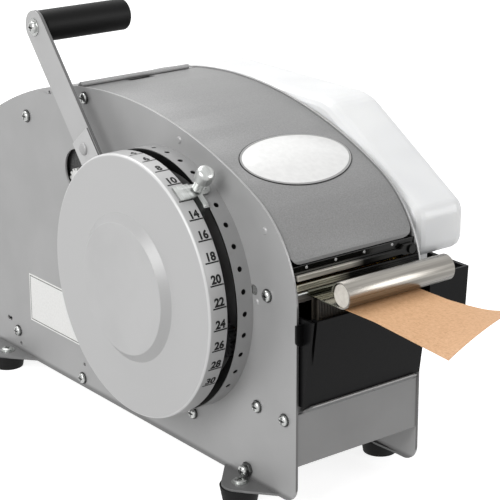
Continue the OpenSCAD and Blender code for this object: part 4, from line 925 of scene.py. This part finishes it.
# ---------- border of the bare label
label = {"width": 0.7, "inset": 1.5, "lift": 0.06}
labelLow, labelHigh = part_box("side_label")
deselectAll()
bpy.ops.mesh.primitive_plane_add(size=1, rotation=(0, -math.pi / 2, 0))
border = bpy.context.object
border.scale = (labelHigh[2] - labelLow[2] - 2 * label["inset"] * mm,
                labelHigh[1] - labelLow[1] - 2 * label["inset"] * mm, 1)
border.location = (labelLow[0] - label["lift"] * mm, (labelLow[1] + labelHigh[1]) / 2,
                   (labelLow[2] + labelHigh[2]) / 2)
bpy.ops.object.transform_apply(location=True, rotation=True, scale=True)
editAll()
bpy.ops.mesh.inset(thickness=label["width"] * mm)
bpy.ops.mesh.delete(type="FACE")
bpy.ops.object.mode_set(mode="OBJECT")
settle(border, "label_border", "frame", "inkAndPaintedShade")
print("label bordered")

# ---------- the cut strip of tape, a curved sheet
strip = {"rows": 60, "cols": 30, "from": 4.0, "flat": -72.0, "low": 174.9, "droop": 5.5, "rise": 6.0,
         "curl": 14.0, "thick": 0.3, "smooth": 40}
stripLow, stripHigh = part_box("tape_strip")
stripLeft, stripWide = (stripLow[0] - outerX) / mm, (stripHigh[0] - stripLow[0]) / mm
stripEnd = (stripLow[1] - frontY) / mm


def stripHeight(u, y):
    v = max(0.0, (strip["flat"] - y) / (strip["flat"] - stripEnd))
    sag = v * (strip["rise"] * u - strip["droop"] * (1 - u))
    return strip["low"] + sag + v ** 4 * strip["curl"] * (1 - (1 - u) ** 2)


deselectAll()
bpy.ops.mesh.primitive_grid_add(x_subdivisions=strip["cols"], y_subdivisions=strip["rows"], size=1)
tape = bpy.context.object
for vertex in tape.data.vertices:
    u, t = vertex.co.x + 0.5, vertex.co.y + 0.5
    y = stripEnd + (strip["from"] - stripEnd) * t
    vertex.co = place(stripLeft + stripWide * u, y, stripHeight(u, y))
solid = tape.modifiers.new("paper", "SOLIDIFY")
solid.thickness, solid.offset = strip["thick"] * mm, 1
bpy.ops.object.modifier_apply(modifier="paper")
bpy.ops.object.shade_smooth_by_angle(angle=math.radians(strip["smooth"]))
settle(tape, "cut_tape", "frame", "kraftPaper")
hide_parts("tape_strip")
print("tape laid")

# ---------- floor, light and background
stage = {"floor": 14.0, "key": (-2.3, -0.5, 1.5), "keySize": 1.5, "keyPower": 40,
         "fill": (1.6, -2.2, 0.9), "fillSize": 1.4, "fillPower": 28,
         "top": (0.0, 1.2, 2.0), "topSize": 1.6, "topPower": 34, "aim": (0, 0, 0.15), "world": 0.26,
         "floorWhite": 0.85, "floorColour": "#c4c4c4", "floorRough": 0.9}
deselectAll()
bpy.ops.mesh.primitive_plane_add(size=stage["floor"], location=(0, 0, 0))
floor = bpy.context.object
floor.name = "floor"
ground, tree, shader, where = newMaterial("paleFloor")
shader.inputs["Base Color"].default_value = linear(stage["floorColour"])
shader.inputs["Roughness"].default_value = stage["floorRough"]
output = tree.nodes["Material Output"]
path = addNode(tree, "ShaderNodeLightPath")
shine = addNode(tree, "ShaderNodeMath", {"operation": "MAXIMUM"},
                {0: path.outputs["Is Glossy Ray"], 1: path.outputs["Is Transmission Ray"]})
glow = addNode(tree, "ShaderNodeEmission", {"Color": (1, 1, 1, 1), "Strength": 1.0})
lift = addNode(tree, "ShaderNodeMath", {"operation": "MULTIPLY", 1: stage["floorWhite"]},
               {0: path.outputs["Is Camera Ray"]})
white = addNode(tree, "ShaderNodeEmission", {"Color": (1, 1, 1, 1)}, {"Strength": lift.outputs[0]})
seenFloor = addNode(tree, "ShaderNodeAddShader", {}, {0: shader.outputs[0], 1: white.outputs[0]})
mixed = addNode(tree, "ShaderNodeMixShader", {},
                {0: shine.outputs[0], 1: seenFloor.outputs[0], 2: glow.outputs[0]})
tree.links.new(mixed.outputs[0], output.inputs["Surface"])
floor.data.materials.append(ground)


def softLamp(name, at, size, power):
    lamp = bpy.data.lights.new(name, "AREA")
    lamp.size, lamp.energy = size, power
    lampObject = bpy.data.objects.new(name, lamp)
    bpy.context.scene.collection.objects.link(lampObject)
    lampObject.location = at
    lampObject.rotation_euler = (Vector(stage["aim"]) - Vector(at)).to_track_quat("-Z", "Y").to_euler()


for lamp in ("key", "fill", "top"):
    softLamp(lamp + "Lamp", stage[lamp], stage[lamp + "Size"], stage[lamp + "Power"])
world = bpy.data.worlds.new("studio")
bpy.context.scene.world = world
world.use_nodes = True
tree = world.node_tree
back = tree.nodes["Background"]
path = addNode(tree, "ShaderNodeLightPath")
seen = addNode(tree, "ShaderNodeMath", {"operation": "MAXIMUM"},
               {0: path.outputs["Is Camera Ray"], 1: path.outputs["Is Glossy Ray"]})
through = addNode(tree, "ShaderNodeMath", {"operation": "MAXIMUM"},
                  {0: seen.outputs[0], 1: path.outputs["Is Transmission Ray"]})
strength = addNode(tree, "ShaderNodeMapRange", {"To Min": stage["world"], "To Max": 1.0},
                   {"Value": through.outputs[0]})
tree.links.new(strength.outputs[0], back.inputs["Strength"])
back.inputs["Color"].default_value = (1, 1, 1, 1)
bpy.context.scene.view_settings.view_transform = "Standard"
print("stage lit")
